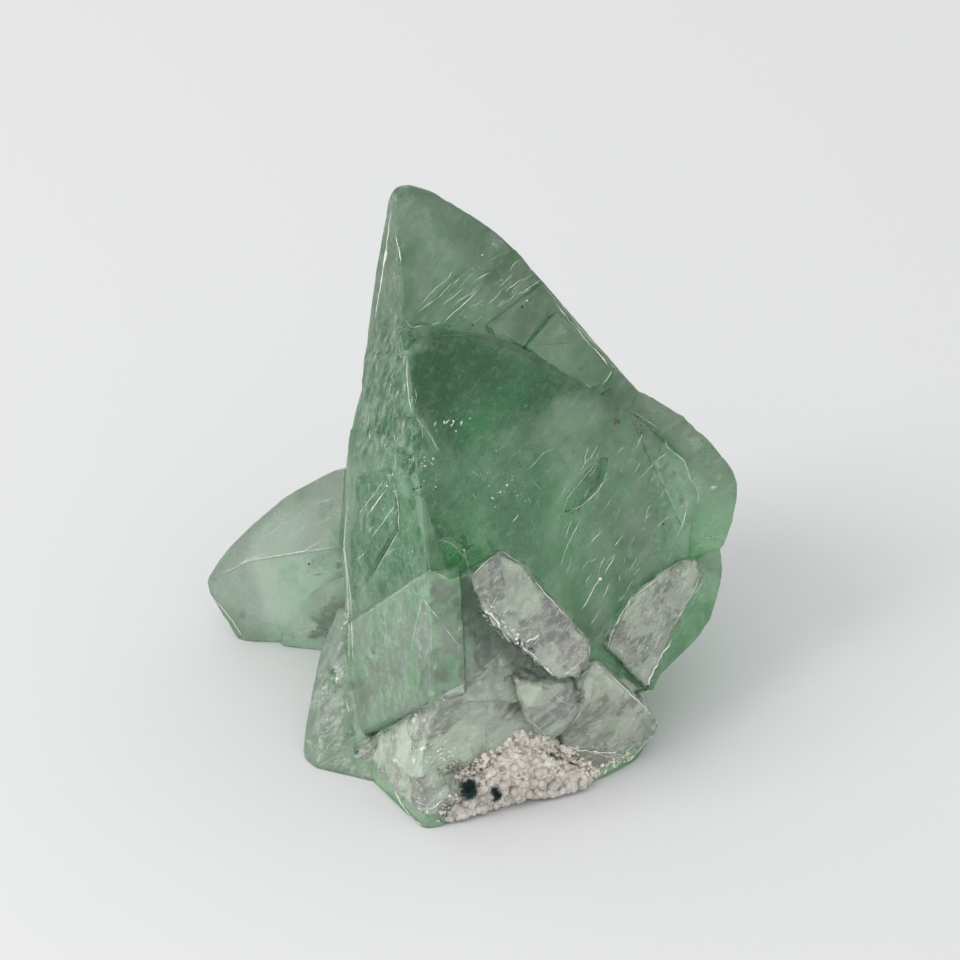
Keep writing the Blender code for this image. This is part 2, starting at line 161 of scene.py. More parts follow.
def face_numbers(points, triangles, edges, of_triangle):
    """One number per flat crystal face: triangles that meet without a bend share the least of theirs."""
    a, b, c = (points[triangles[:, k]] for k in range(3))
    cross = np.cross(b - a, c - a)
    normals = unit(cross)
    lengths = np.linalg.norm(points[edges[:, 0]] - points[edges[:, 1]], axis=1)
    sliver = np.linalg.norm(cross, axis=1) < 0.004 * lengths[of_triangle].max(axis=1)
    order = np.argsort(of_triangle.reshape(-1), kind="stable")
    owner = np.repeat(np.arange(len(triangles)), 3)[order].reshape(-1, 2)
    bend = np.einsum("ij,ij->i", normals[owner[:, 0]], normals[owner[:, 1]])
    longest = of_triangle[np.arange(len(triangles)), lengths[of_triangle].argmax(axis=1)]
    joins = bend > SAME_FACE
    joins[longest[sliver]] = True
    pairs = owner[joins]
    numbers = np.arange(len(triangles))
    while True:
        least = np.minimum(numbers[pairs[:, 0]], numbers[pairs[:, 1]])
        before = numbers.copy()
        np.minimum.at(numbers, pairs[:, 0], least)
        np.minimum.at(numbers, pairs[:, 1], least)
        numbers = numbers[numbers]
        if np.array_equal(before, numbers):
            return numbers, owner


def enclosed(triangles, sides):
    """Which triangles lie inside an outline: crossing one of its sides goes from outside to inside or back.

    The walk starts outside, at the net's rim, and spreads over neighbours until every triangle is known."""
    edges, of_triangle = edge_table(triangles)
    wall = np.isin(edges @ [1, 1 << 20], np.sort(np.array(sides), axis=1) @ [1, 1 << 20])
    order = np.argsort(of_triangle.reshape(-1), kind="stable")
    holder = np.repeat(np.arange(len(triangles)), 3)[order]
    first = np.searchsorted(of_triangle.reshape(-1)[order], np.arange(len(edges)))
    shared = np.bincount(of_triangle.reshape(-1)) == 2
    one, other = holder[first], holder[np.minimum(first + 1, len(holder) - 1)]
    state = np.full(len(triangles), -1)
    state[one[~shared]] = wall[~shared]
    one, other, flip = one[shared], other[shared], wall[shared]
    for _ in range(len(triangles)):
        onward = (state[one] >= 0) & (state[other] < 0)
        back = (state[one] < 0) & (state[other] >= 0)
        if not (onward.any() or back.any()):
            break
        state[other[onward]] = state[one[onward]] ^ flip[onward]
        state[one[back]] = state[other[back]] ^ flip[back]
    return state == 1


def inside_outline(spots, starts, ends):
    """Whether each spot lies inside: a line to the right of it crosses the outline an odd number of times."""
    x, y = spots[:, 0, None], spots[:, 1, None]
    crosses = (starts[:, 1] > y) != (ends[:, 1] > y)
    drop = np.where(ends[:, 1] == starts[:, 1], 1e-12, ends[:, 1] - starts[:, 1])
    slope = (ends[:, 0] - starts[:, 0]) / drop
    return (crosses & (x < starts[:, 0] + (y - starts[:, 1]) * slope)).sum(axis=1) % 2 == 1


def distance_to_outline(spots, starts, ends):
    """Each spot's distance to the nearest side of the outline."""
    along = ends - starts
    length = np.maximum((along ** 2).sum(axis=1), 1e-12)
    t = np.clip(((spots[:, None] - starts) * along).sum(axis=2) / length, 0.0, 1.0)
    return np.linalg.norm(spots[:, None] - (starts + t[..., None] * along), axis=2).min(axis=1)


def net_spots(low, high, cell, turn):
    """A turned net of equal triangles that covers a rectangle."""
    middle, reach = (low + high) / 2, np.linalg.norm(high - low) / 2 + cell
    count = int(reach / cell) + 1
    i, j = np.meshgrid(np.arange(-count, count + 1), np.arange(-int(count * 1.2), int(count * 1.2) + 1))
    x, y = ((i + (j % 2) / 2) * cell).reshape(-1), (j * cell * math.sqrt(0.75)).reshape(-1)
    cos, sin = math.cos(turn), math.sin(turn)
    return np.stack([x * cos - y * sin, x * sin + y * cos], axis=1) + middle


class FineSurface:
    """Points and triangles of the crystals' faces, divided into small equal cells."""

    def __init__(self, corners, cell):
        self.points = np.empty((MOST_POINTS, 3))
        self.points[:len(corners)] = corners
        self.count = len(corners)
        self.cell = cell
        self.triangles = []
        self.sides = {}

    def add(self, points):
        """Adds points and gives their numbers."""
        first = self.count
        self.count += len(points)
        self.points[first:self.count] = points
        return list(range(first, self.count))

    def side(self, a, b):
        """Point numbers along the side from a to b, the same for both faces that share it."""
        key = (min(a, b), max(a, b))
        if key not in self.sides:
            start, end = self.points[key[0]], self.points[key[1]]
            steps = max(1, int(np.linalg.norm(end - start) / self.cell + 0.5))
            t = (np.arange(1, steps) / steps)[:, None]
            self.sides[key] = [key[0], *self.add(start + (end - start) * t), key[1]]
        run = self.sides[key]
        return run if run[0] == a else run[::-1]

    def fill(self, outline, normal):
        """Fills one flat outline with a net of triangles. Gives False if the outline crosses itself."""
        runs = [self.side(a, b) for a, b in outline]
        numbers = sorted({n for run in runs for n in run})
        place = {n: i for i, n in enumerate(numbers)}
        rim = self.points[numbers]
        across = unit(np.cross(normal, [0.0, 1.0, 0.0] if abs(normal[0]) > 0.9 else [1.0, 0.0, 0.0]))
        along = np.cross(normal, across)
        middle = rim.mean(axis=0)
        flat = np.stack([(rim - middle) @ across, (rim - middle) @ along], axis=1)
        sides = [(place[a], place[b]) for run in runs for a, b in zip(run[:-1], run[1:])]
        starts, ends = flat[[a for a, b in sides]], flat[[b for a, b in sides]]
        spots = net_spots(flat.min(axis=0), flat.max(axis=0), self.cell, 0.3)
        spots = spots[inside_outline(spots, starts, ends)]
        spots = spots[distance_to_outline(spots, starts, ends) > self.cell * 0.55]
        both = np.concatenate([flat, spots])
        made = delaunay_2d_cdt([Vector(p) for p in both.tolist()], sides, [], 0, 1e-6, True)
        if len(made[0]) != len(both) or any(len(source) != 1 for source in made[3]):
            return False
        source = np.array([s[0] for s in made[3]])
        triangles = source[np.array(made[2])]
        keep = enclosed(triangles, sides)
        inner = self.add(middle + spots[:, :1] * across + spots[:, 1:] * along)
        self.triangles.append(np.array(numbers + inner)[triangles[keep]])
        return True


def divided(points, triangles, cell):
    """The same surface in cells of one size: its points and triangles.

    Each flat face's outline is cut into even steps and filled with a net. A face whose outline crosses
    itself is filled triangle by triangle."""
    edges, of_triangle = edge_table(triangles)
    numbers, owner = face_numbers(points, triangles, edges, of_triangle)
    a, b, c = (points[triangles[:, k]] for k in range(3))
    cross = np.cross(b - a, c - a)
    surface = FineSurface(points, cell)
    outer = numbers[owner[:, 0]] != numbers[owner[:, 1]]
    for number in np.unique(numbers):
        members = np.flatnonzero(numbers == number)
        outline = [
            (triangles[m, k], triangles[m, (k + 1) % 3])
            for m in members for k in range(3) if outer[of_triangle[m, k]]]
        if surface.fill(outline, unit(cross[members].sum(axis=0))):
            continue
        for m in members:
            corners = [(triangles[m, k], triangles[m, (k + 1) % 3]) for k in range(3)]
            if not surface.fill(corners, unit(cross[m])):
                surface.triangles.append(triangles[m][None])
    return surface.points[:surface.count].copy(), np.concatenate(surface.triangles)


# Where each look lies, outlined as it is seen in the photograph, in its pixels

DARK_WINDOW = [
    (408, 352), (421, 346), (432, 334), (425, 328), (435, 330), (470, 330), (505, 335), (525, 347),
    (567, 375), (592, 390), (560, 402), (520, 420), (486, 446), (462, 462), (440, 455), (425, 421),
    (414, 417), (410, 400), (406, 375)]
DEEP_CORNER = [
    (408, 352), (421, 346), (470, 336), (500, 350), (495, 385), (455, 400), (430, 415), (412, 414),
    (408, 383)]
DEEP_CLEFT = [(388, 460), (404, 452), (426, 456), (430, 480), (404, 486), (388, 480)]
DEEP_HEART = [
    (436, 462), (470, 470), (520, 440), (556, 480), (560, 520), (540, 560), (505, 552), (470, 540),
    (448, 500)]
SHARD = [(415, 416), (424, 419), (441, 452), (432, 454)]
PALE_FACET = [(520, 345), (556, 311), (575, 330), (611, 371), (604, 384), (590, 387)]
SPIRE_PANE = [
    (475, 333), (490, 320), (515, 300), (532, 291), (550, 293), (556, 311), (520, 345), (505, 335)]
SPIRE_BAND_LOW = [
    (437, 327), (462, 300), (490, 272), (512, 250), (532, 272), (547, 292), (515, 300), (475, 333)]
SPIRE_BAND_HIGH = [
    (417, 320), (450, 295), (475, 267), (484, 228), (512, 250), (490, 272), (462, 300), (437, 327)]
SPIRE_TOP = [
    (392, 190), (410, 184), (460, 208), (486, 226), (478, 258), (450, 280), (424, 305), (405, 318),
    (398, 260)]
ETCHED_ZONE = [
    (372, 318), (402, 314), (424, 328), (421, 346), (408, 352), (406, 375), (411, 410), (425, 440),
    (432, 478), (395, 482), (388, 456), (350, 462), (356, 405), (362, 365), (368, 343)]
MILKY_SHIELD = [
    (528, 400), (575, 396), (606, 404), (626, 425), (600, 452), (566, 480), (540, 478), (530, 445)]
LENS_CHIP = [(560, 514), (565, 497), (600, 457), (609, 457), (605, 478), (577, 511)]
RIGHT_WEDGE = [
    (609, 458), (632, 430), (666, 444), (688, 470), (697, 490), (680, 545), (640, 585), (604, 560),
    (607, 480)]
RIGHT_BAND = [
    (647, 398), (700, 428), (742, 478), (736, 520), (724, 590), (700, 600), (690, 560), (702, 520),
    (700, 488), (688, 457), (664, 436), (640, 415)]
LEAF_FACET = [
    (358, 476), (392, 472), (400, 510), (399, 532), (387, 552), (372, 578), (353, 600), (350, 540)]
DARK_PLEATS = [
    (400, 500), (412, 492), (436, 484), (480, 520), (496, 545), (470, 572), (450, 580), (430, 570),
    (404, 586), (376, 600), (388, 552), (400, 532)]
PALE_PLEAT = [(413, 495), (424, 497), (450, 580), (429, 571)]
LOWER_LEFT_FACE = [
    (348, 626), (422, 575), (430, 570), (450, 580), (472, 572), (500, 551), (500, 590), (512, 644),
    (467, 682), (439, 698), (358, 746), (345, 691)]
# Outline of a face turned away from the key light; its zone paints it lighter, as painted light.
PAINTED_LIGHT_FACE = [(466, 580), (500, 552), (502, 590), (512, 644), (467, 682), (465, 640)]
PALE_TRIANGLE = [(422, 597), (465, 655), (410, 650)]
CLEAR_BLOCK = [
    (500, 551), (525, 566), (539, 588), (590, 641), (588, 671), (577, 678), (556, 677), (515, 643),
    (482, 614), (479, 604), (471, 575)]
BLOCK_END = [(545, 606), (590, 641), (588, 671), (577, 678), (556, 677), (538, 660), (550, 640)]
CLEAR_BLADE = [
    (682, 561), (693, 562), (700, 577), (675, 624), (646, 691), (640, 680), (604, 647), (616, 625),
    (632, 597), (668, 568)]
LEFT_BLADE = [
    (205, 590), (220, 555), (251, 524), (283, 497), (327, 473), (347, 460), (347, 495), (341, 548),
    (345, 600), (330, 646), (240, 642)]
GREY_FOOT = [(300, 640), (330, 600), (345, 590), (350, 700), (360, 778), (310, 774), (298, 752)]
PALE_BASE = [
    (358, 746), (439, 698), (467, 682), (512, 644), (550, 670), (600, 662), (655, 700), (662, 735),
    (560, 805), (430, 832), (390, 792), (358, 778)]
BASE_BEIGE = [(405, 722), (439, 700), (467, 684), (500, 700), (520, 740), (470, 765), (430, 752)]
GREY_FACET = [(546, 687), (572, 690), (580, 712), (562, 736), (548, 742), (524, 716)]
PYRAMID_FACE = [(578, 714), (603, 684), (655, 720), (629, 758), (592, 752), (562, 742)]
LOWER_FACET = [(555, 746), (592, 752), (629, 758), (588, 777), (556, 770)]


def outline_distance(spots, outline):
    """Distance in mm into the outline, negative outside it, for places seen in the photograph."""
    corners = np.array(outline, float)
    ends = np.roll(corners, -1, axis=0)
    inside = inside_outline(spots, corners, ends)
    reach = distance_to_outline(spots, corners, ends) / PIXELS_PER_MM
    return np.where(inside, reach, -reach)


# Crystals

class Zone:
    """A look that holds inside an outline, and how softly it starts there in mm.

    The tint and the clearness are its surface's, veil is how much of it the milky veils fill, and broken is
    how rough with small facets it is."""

    def __init__(self, name, outline, tint, clear, soft, veil=0.0, broken=0.0):
        self.name = name
        self.outline = outline
        self.tint = np.array(tint)
        self.clear = clear
        self.soft = soft
        self.veil = veil
        self.broken = broken


class Nodes:
    """Short way to place and join shader nodes."""

    def __init__(self, tree):
        self.tree = tree

    def add(self, kind, inputs=None, **settings):
        node = self.tree.nodes.new(kind)
        for key, value in settings.items():
            setattr(node, key, value)
        for key, value in (inputs or {}).items():
            self.set(node.inputs[key], value)
        return node

    def set(self, socket, value):
        if isinstance(value, bpy.types.NodeSocket):
            self.tree.links.new(value, socket)
        else:
            socket.default_value = value

    def math(self, operation, *values, clamp=False):
        node = self.add("ShaderNodeMath", dict(enumerate(values)), operation=operation, use_clamp=clamp)
        return node.outputs[0]

    def vector(self, operation, *values):
        return self.add("ShaderNodeVectorMath", dict(enumerate(values)), operation=operation).outputs[0]

    def ramp(self, value, low, high, bottom=0.0, top=1.0):
        """bottom under low, top over high, and a smooth step between."""
        node = self.add(
            "ShaderNodeMapRange",
            {"Value": value, "From Min": low, "From Max": high, "To Min": bottom, "To Max": top},
            interpolation_type="SMOOTHSTEP")
        return node.outputs["Result"]

    def mix(self, share, first, second, blend="MIX"):
        node = self.add("ShaderNodeMix", data_type="RGBA", blend_type=blend)
        for index, value in ((0, share), (6, first), (7, second)):
            self.set(node.inputs[index], value)
        return node.outputs[2]

    def noise(self, place, scale, detail=2.0, rough=0.5):
        settings = {"Vector": place, "Scale": scale, "Detail": detail, "Roughness": rough}
        return self.add("ShaderNodeTexNoise", settings).outputs[0]

    def drawn_out(self, place, direction, stretch):
        """The place squeezed along one direction, so that a pattern read there is drawn out along it."""
        along = Vector(direction).normalized()
        across = along.cross(Vector((0.31, 0.52, -0.8))).normalized()
        axes = (along / stretch, across, along.cross(across))
        parts = [
            self.add("ShaderNodeVectorMath", {0: place, 1: axis}, operation="DOT_PRODUCT").outputs["Value"]
            for axis in axes]
        return self.add("ShaderNodeCombineXYZ", dict(enumerate(parts))).outputs[0]

    def attribute(self, name):
        return self.add("ShaderNodeAttribute", attribute_name=name)

    def grain(self, place, size):
        """Tone, seams and mottle of broken mineral with that grain size in mm."""
        node = self.add("ShaderNodeGroup", node_tree=broken_grain())
        self.set(node.inputs["Place"], place)
        node.inputs["Grain Size"].default_value = size
        return node.outputs["Tone"], node.outputs["Seam"], node.outputs["Mottle"]


def broken_grain():
    """Shader group shared by the crystals, their veils and the crust: grain of broken mineral.

    From a place in mm and a grain size in mm it gives each grain's own tone from 0 to 1, the seams between
    grains from 0 to 1, and a fine mottle from 0 to 1."""
    name = "broken_grain"
    if name in bpy.data.node_groups:
        return bpy.data.node_groups[name]
    group = bpy.data.node_groups.new(name, "ShaderNodeTree")
    for label, kind in (("Place", "NodeSocketVector"), ("Grain Size", "NodeSocketFloat")):
        group.interface.new_socket(label, in_out="INPUT", socket_type=kind)
    for label in ("Tone", "Seam", "Mottle"):
        group.interface.new_socket(label, in_out="OUTPUT", socket_type="NodeSocketFloat")
    nodes = Nodes(group)
    given = nodes.add("NodeGroupInput").outputs
    half = (0.5, 0.5, 0.5)
    scaled = nodes.vector("DIVIDE", given["Place"], given["Grain Size"])
    bent = nodes.add("ShaderNodeTexNoise", {"Vector": scaled, "Scale": 1.7, "Detail": 3.0}).outputs["Color"]
    bent = nodes.vector("MULTIPLY_ADD", nodes.vector("SUBTRACT", bent, half), half, scaled)
    cells = {"Vector": bent, "Scale": 1.0}
    tone = nodes.add("ShaderNodeTexVoronoi", cells).outputs["Color"]
    tone = nodes.add("ShaderNodeSeparateColor", {0: tone}).outputs[0]
    border = nodes.add("ShaderNodeTexVoronoi", cells, feature="DISTANCE_TO_EDGE").outputs["Distance"]
    put = nodes.add("NodeGroupOutput").inputs
    nodes.set(put["Tone"], tone)
    nodes.set(put["Seam"], nodes.ramp(border, 0.06, 0.0))
    nodes.set(put["Mottle"], nodes.noise(given["Place"], 1.6, 3.0, 0.65))
    return group


def new_material(name):
    """A material with only a Principled shader: (material, Nodes, shader, place in mm)."""
    material = bpy.data.materials.new(name)
    material.use_nodes = True
    nodes = Nodes(material.node_tree)
    shader = material.node_tree.nodes["Principled BSDF"]
    place = nodes.add("ShaderNodeTexCoord").outputs["Object"]
    place = nodes.add("ShaderNodeVectorMath", {0: place, 3: 1.0 / MM}, operation="SCALE").outputs[0]
    return material, nodes, shader, place


def new_piece(name, points, faces, material, replaces=(), slot=None, smooth_shaded=True):
    """A mesh piece from points in mm, fixed to the specimen."""
    mesh = bpy.data.meshes.new(name)
    mesh.from_pydata((points * MM).tolist(), [], faces.tolist() if hasattr(faces, "tolist") else faces)
    mesh.validate()
    if smooth_shaded:
        mesh.shade_smooth()
    else:
        mesh.shade_flat()
    piece = bpy.data.objects.new(name, mesh)
    bpy.context.scene.collection.objects.link(piece)
    mesh.materials.append(material)
    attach(piece, "root")
    if replaces:
        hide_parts(*replaces)
    return piece


def point_value(mesh, name, values):
    """Stores one value, or one colour, for each point."""
    kind = "FLOAT" if values.ndim == 1 else "FLOAT_COLOR"
    layer = mesh.attributes.new(name, kind, "POINT")
    if values.ndim == 1:
        layer.data.foreach_set("value", values.astype(np.float32))
        return
    rgba = np.concatenate([values, np.ones((len(values), 1))], axis=1)
    layer.data.foreach_set("color", rgba.astype(np.float32).reshape(-1))


def point_normals(points, triangles):
    """Each point's normal: the sum of its triangles' normals, weighted by their areas."""
    a, b, c = (points[triangles[:, k]] for k in range(3))
    cross = np.cross(b - a, c - a)
    total = np.zeros_like(points)
    for k in range(3):
        np.add.at(total, triangles[:, k], cross)
    return unit(total)


SOFT_ZONES = [
    Zone("left_blade", LEFT_BLADE, (0.99, 1.0, 0.99), 0.50, 1.6, 0.22, 0.05),
    Zone("grey_foot", GREY_FOOT, (0.76, 0.82, 0.76), 0.55, 1.2, 0.52, 0.5),
    Zone("right_band", RIGHT_BAND, (0.656, 0.782, 0.664), 0.45, 0.8, 0.30, 0.5),
    Zone("right_wedge", RIGHT_WEDGE, (0.464, 0.646, 0.486), 0.35, 1.2, 0.24, 0.3),
    Zone("dark_pleats", DARK_PLEATS, (0.08, 0.306, 0.13), 0.5, 1.0, 0.0, 0.5),
    Zone("milky_shield", MILKY_SHIELD, (0.416, 0.578, 0.429), 0.2, 1.0, 0.26, 0.1),
    Zone("dark_window", DARK_WINDOW, (0.016, 0.204, 0.065), 0.60, 2.2, 0.0, 0.1),
    Zone("deep_corner", DEEP_CORNER, (0.003, 0.153, 0.032), 0.65, 1.4),
    Zone("deep_heart", DEEP_HEART, (0.176, 0.391, 0.227), 0.5, 2.4, 0.10, 0.2),
    Zone("etched_zone", ETCHED_ZONE, (0.224, 0.442, 0.283), 0.15, 0.8, 0.28),
    Zone("deep_cleft", DEEP_CLEFT, (0.016, 0.238, 0.065), 0.3, 1.2, 0.0, 0.4),
    Zone("base_beige", BASE_BEIGE, (0.99, 0.97, 0.91), 0.5, 1.0, 1.4, 1.0),
]
CRISP_ZONES = [
    Zone("pale_base", PALE_BASE, (0.95, 1.0, 0.91), 0.6, 0.12, 1.6, 1.0),
    Zone("spire_top", SPIRE_TOP, (0.432, 0.612, 0.454), 0.35, 0.25, 0.24),
    Zone("spire_band_high", SPIRE_BAND_HIGH, (0.384, 0.578, 0.405), 0.4, 0.10, 0.25, 0.2),
    Zone("spire_band_low", SPIRE_BAND_LOW, (0.288, 0.493, 0.324), 0.4, 0.10, 0.15, 0.2),
    Zone("spire_pane", SPIRE_PANE, (0.368, 0.544, 0.389), 0.4, 0.08, 0.25, 0.1),
    Zone("pale_facet", PALE_FACET, (0.48, 0.68, 0.486), 0.5, 0.06, 0.20),
    Zone("shard", SHARD, (0.512, 0.68, 0.535), 0.3, 0.08, 0.5),
    Zone("lens_chip", LENS_CHIP, (0.208, 0.391, 0.243), 0.6, 0.06),
    Zone("leaf_facet", LEAF_FACET, (0.08, 0.306, 0.138), 0.4, 0.08, 0.04, 0.4),
    Zone("pale_pleat", PALE_PLEAT, (0.336, 0.527, 0.356), 0.4, 0.08, 0.20),
    Zone("lower_left_face", LOWER_LEFT_FACE, (0.666, 0.921, 0.692), 0.40, 0.06, 0.62, 0.3),
    # Painted light: the face turned from the key light is tinted pale to stand in for light it does not get.
    Zone("painted_light_face", PAINTED_LIGHT_FACE, (0.82, 1.0, 0.85), 0.45, 0.06, 1.2, 0.4),
    Zone("pale_triangle", PALE_TRIANGLE, (0.774, 0.94, 0.792), 0.4, 0.08, 0.85, 0.4),
    Zone("grey_facet", GREY_FACET, (0.96, 1.0, 0.94), 0.65, 0.06, 1.6, 0.8),
    Zone("pyramid_face", PYRAMID_FACE, (0.95, 0.99, 0.87), 0.65, 0.06, 1.4, 0.8),
    Zone("lower_facet", LOWER_FACET, (0.98, 1.0, 0.84), 0.5, 0.06, 1.4, 0.9),
    Zone("clear_block", CLEAR_BLOCK, (0.94, 1.0, 0.90), 0.7, 0.06, 1.6, 0.8),
    Zone("block_end", BLOCK_END, (1.0, 0.99, 0.95), 0.65, 0.08, 1.5, 0.8),
    Zone("clear_blade", CLEAR_BLADE, (0.92, 1.0, 0.88), 0.7, 0.06, 1.5, 0.7),
]
BODY_TINT = np.array([0.32, 0.51, 0.35])
BODY_CLEAR = 0.4
BODY_VEIL = 0.14
BODY_BROKEN = 0.06
CRYSTAL_IOR = 1.535
RAGGED = 0.9  # mm by which soft outlines wander
ALONG_BLOCK = (0.85, 0.29, 0.41)  # the way that the block's fine layers run
DOWN_CRYSTAL = (0.15, -0.25, 1.0)  # the way that the etched wrinkles run
VEIL_REACH = 0.3  # mm by which the full veils pass over their zones' outlines
FACET_STRETCH = np.array([0.8, 1.0, 0.6])


def crystal_material():
    """Milky to clear green crystal: see-through by transmission, with its body colour by absorption."""
    material, nodes, shader, place = new_material("apophyllite_green")
    colour = nodes.attribute("tint").outputs["Color"]
    clear = nodes.attribute("clearness").outputs["Fac"]
    etched = nodes.attribute("etched").outputs["Fac"]
    broken = nodes.attribute("broken").outputs["Fac"]
    tone, seam, fine = nodes.grain(nodes.drawn_out(place, ALONG_BLOCK, 2.2), 1.5)
    clouds = nodes.noise(place, 0.26, 4.0, 0.62)
    wobble = nodes.math("MULTIPLY", nodes.math("SUBTRACT", fine, 0.5), 0.22)
    for zone in CRISP_ZONES:
        reach = nodes.math("ADD", nodes.attribute(zone.name).outputs["Fac"], wobble)
        share = nodes.ramp(reach, -zone.soft, zone.soft)
        colour = nodes.mix(share, colour, (*zone.tint, 1.0))
        clear = nodes.add("ShaderNodeMix", {0: share, 2: clear, 3: zone.clear}, data_type="FLOAT").outputs[0]
    growth = nodes.noise(nodes.drawn_out(place, GROWTH_DIRECTION, 7.0), 1.1, 3.0, 0.7)
    wrinkles = nodes.noise(nodes.drawn_out(place, DOWN_CRYSTAL, 5.0), 1.8, 3.0, 0.7)
    wisps = nodes.math("MULTIPLY", nodes.ramp(clouds, 0.42, 0.66), nodes.ramp(growth, 0.30, 0.70, 0.25, 1.0))
    wisps = nodes.math("MULTIPLY", wisps, nodes.ramp(clear, 0.35, 0.62, 0.7, 0.04))
    colour = nodes.mix(wisps, colour, (0.84, 0.95, 0.86, 1.0))
    deeper = nodes.math("MULTIPLY", nodes.ramp(clouds, 0.52, 0.34), nodes.ramp(growth, 0.60, 0.35, 0.3, 0.8))
    deeper = nodes.math("MULTIPLY", deeper, nodes.ramp(broken, 0.3, 0.9, 1.0, 0.1))
    colour = nodes.mix(deeper, colour, (0.45, 0.72, 0.52, 1.0), "MULTIPLY")
    shade = nodes.mix(tone, (0.90, 0.94, 0.90, 1.0), (1.0, 1.0, 1.0, 1.0))
    colour = nodes.mix(broken, colour, shade, "MULTIPLY")
    seam = nodes.math("MULTIPLY", seam, nodes.math("MULTIPLY", broken, 0.5))
    colour = nodes.mix(seam, colour, (1.0, 1.0, 1.0, 1.0))
    # Painted highlight on the crests and painted shade in the folds of the wrinkle pattern that also drives
    # the bump.
    painted_crest_light = nodes.math("MULTIPLY", nodes.ramp(wrinkles, 0.52, 0.64), nodes.math("MULTIPLY", etched, 0.9))
    colour = nodes.mix(painted_crest_light, colour, (0.92, 0.97, 0.92, 1.0))
    painted_fold_shade = nodes.math("MULTIPLY", nodes.ramp(wrinkles, 0.48, 0.38), nodes.math("MULTIPLY", etched, 0.8))
    colour = nodes.mix(painted_fold_shade, colour, (0.20, 0.42, 0.26, 1.0), "MULTIPLY")
    roughness = nodes.ramp(clear, 0.0, 1.0, 0.55, 0.10)
    roughness = nodes.math("ADD", roughness, nodes.math("MULTIPLY", nodes.math("SUBTRACT", fine, 0.5), 0.3))
    uneven = nodes.math("MULTIPLY", nodes.math("SUBTRACT", 0.5, tone), nodes.math("MULTIPLY", broken, 0.5))
    roughness = nodes.math("MAXIMUM", nodes.math("ADD", roughness, uneven), 0.06)
    relief = nodes.math("ADD", nodes.math("MULTIPLY", fine, 0.5), nodes.math("MULTIPLY", growth, 0.15))
    relief = nodes.math("ADD", relief, nodes.math("MULTIPLY", nodes.math("MULTIPLY", wrinkles, 1.6), etched))
    bump = nodes.add("ShaderNodeBump", {"Height": relief, "Strength": 1.0, "Distance": 0.00025})
    nodes.set(shader.inputs["Base Color"], colour)
    nodes.set(shader.inputs["Roughness"], roughness)
    nodes.set(shader.inputs["Normal"], bump.outputs[0])
    nodes.set(shader.inputs["Coat Weight"], nodes.ramp(fine, 0.50, 0.62, 0.1, 0.8))
    shader.inputs["Coat Roughness"].default_value = 0.10
    shader.inputs["Coat IOR"].default_value = 1.5
    shader.inputs["IOR"].default_value = CRYSTAL_IOR
    shader.inputs["Transmission Weight"].default_value = 0.82
    absorb = nodes.add("ShaderNodeVolumeAbsorption", {"Color": (0.40, 0.85, 0.48, 1.0), "Density": 42.0})
    output = material.node_tree.nodes["Material Output"]
    material.node_tree.links.new(absorb.outputs[0], output.inputs["Volume"])
    return material


def ridged(points, size, seed):
    """Noise folded at zero, so that it has sharp crests: 1 at a crest and falling to either side."""
    return 1.0 - 2.0 * np.abs(noise(points, size, seed))


def etched_relief(points):
    """Wrinkles of the etched zone: crests that run down the crystal, with small pits between them."""
    squeezed = points * np.array([1.0, 1.0, 0.4])
    bent = squeezed + 0.5 * np.stack([noise(points, 2.5, 90 + k) for k in range(3)], axis=1)
    return 0.24 * ridged(bent, 1.6, 31) + 0.10 * ridged(bent, 0.85, 37)


GROWTH_DIRECTION = unit(np.array([0.52, 0.765, 0.38]))
RIGHT_FACE = unit(np.array([0.63, -0.632, 0.44]))


def growth_steps(points, normals):
    """Growth steps on the right-hand faces: fine terraces whose treads run along the growth direction."""
    rightward = smooth(0.2, 0.5, normals @ RIGHT_FACE)
    height = points @ unit(np.cross(GROWTH_DIRECTION, RIGHT_FACE))
    lines = np.stack([height, 0.08 * (points @ GROWTH_DIRECTION), np.zeros(len(points))], axis=1)
    return (0.06 * noise(lines, 1.4, 61) + 0.04 * noise(lines, 0.7, 67)) * rightward


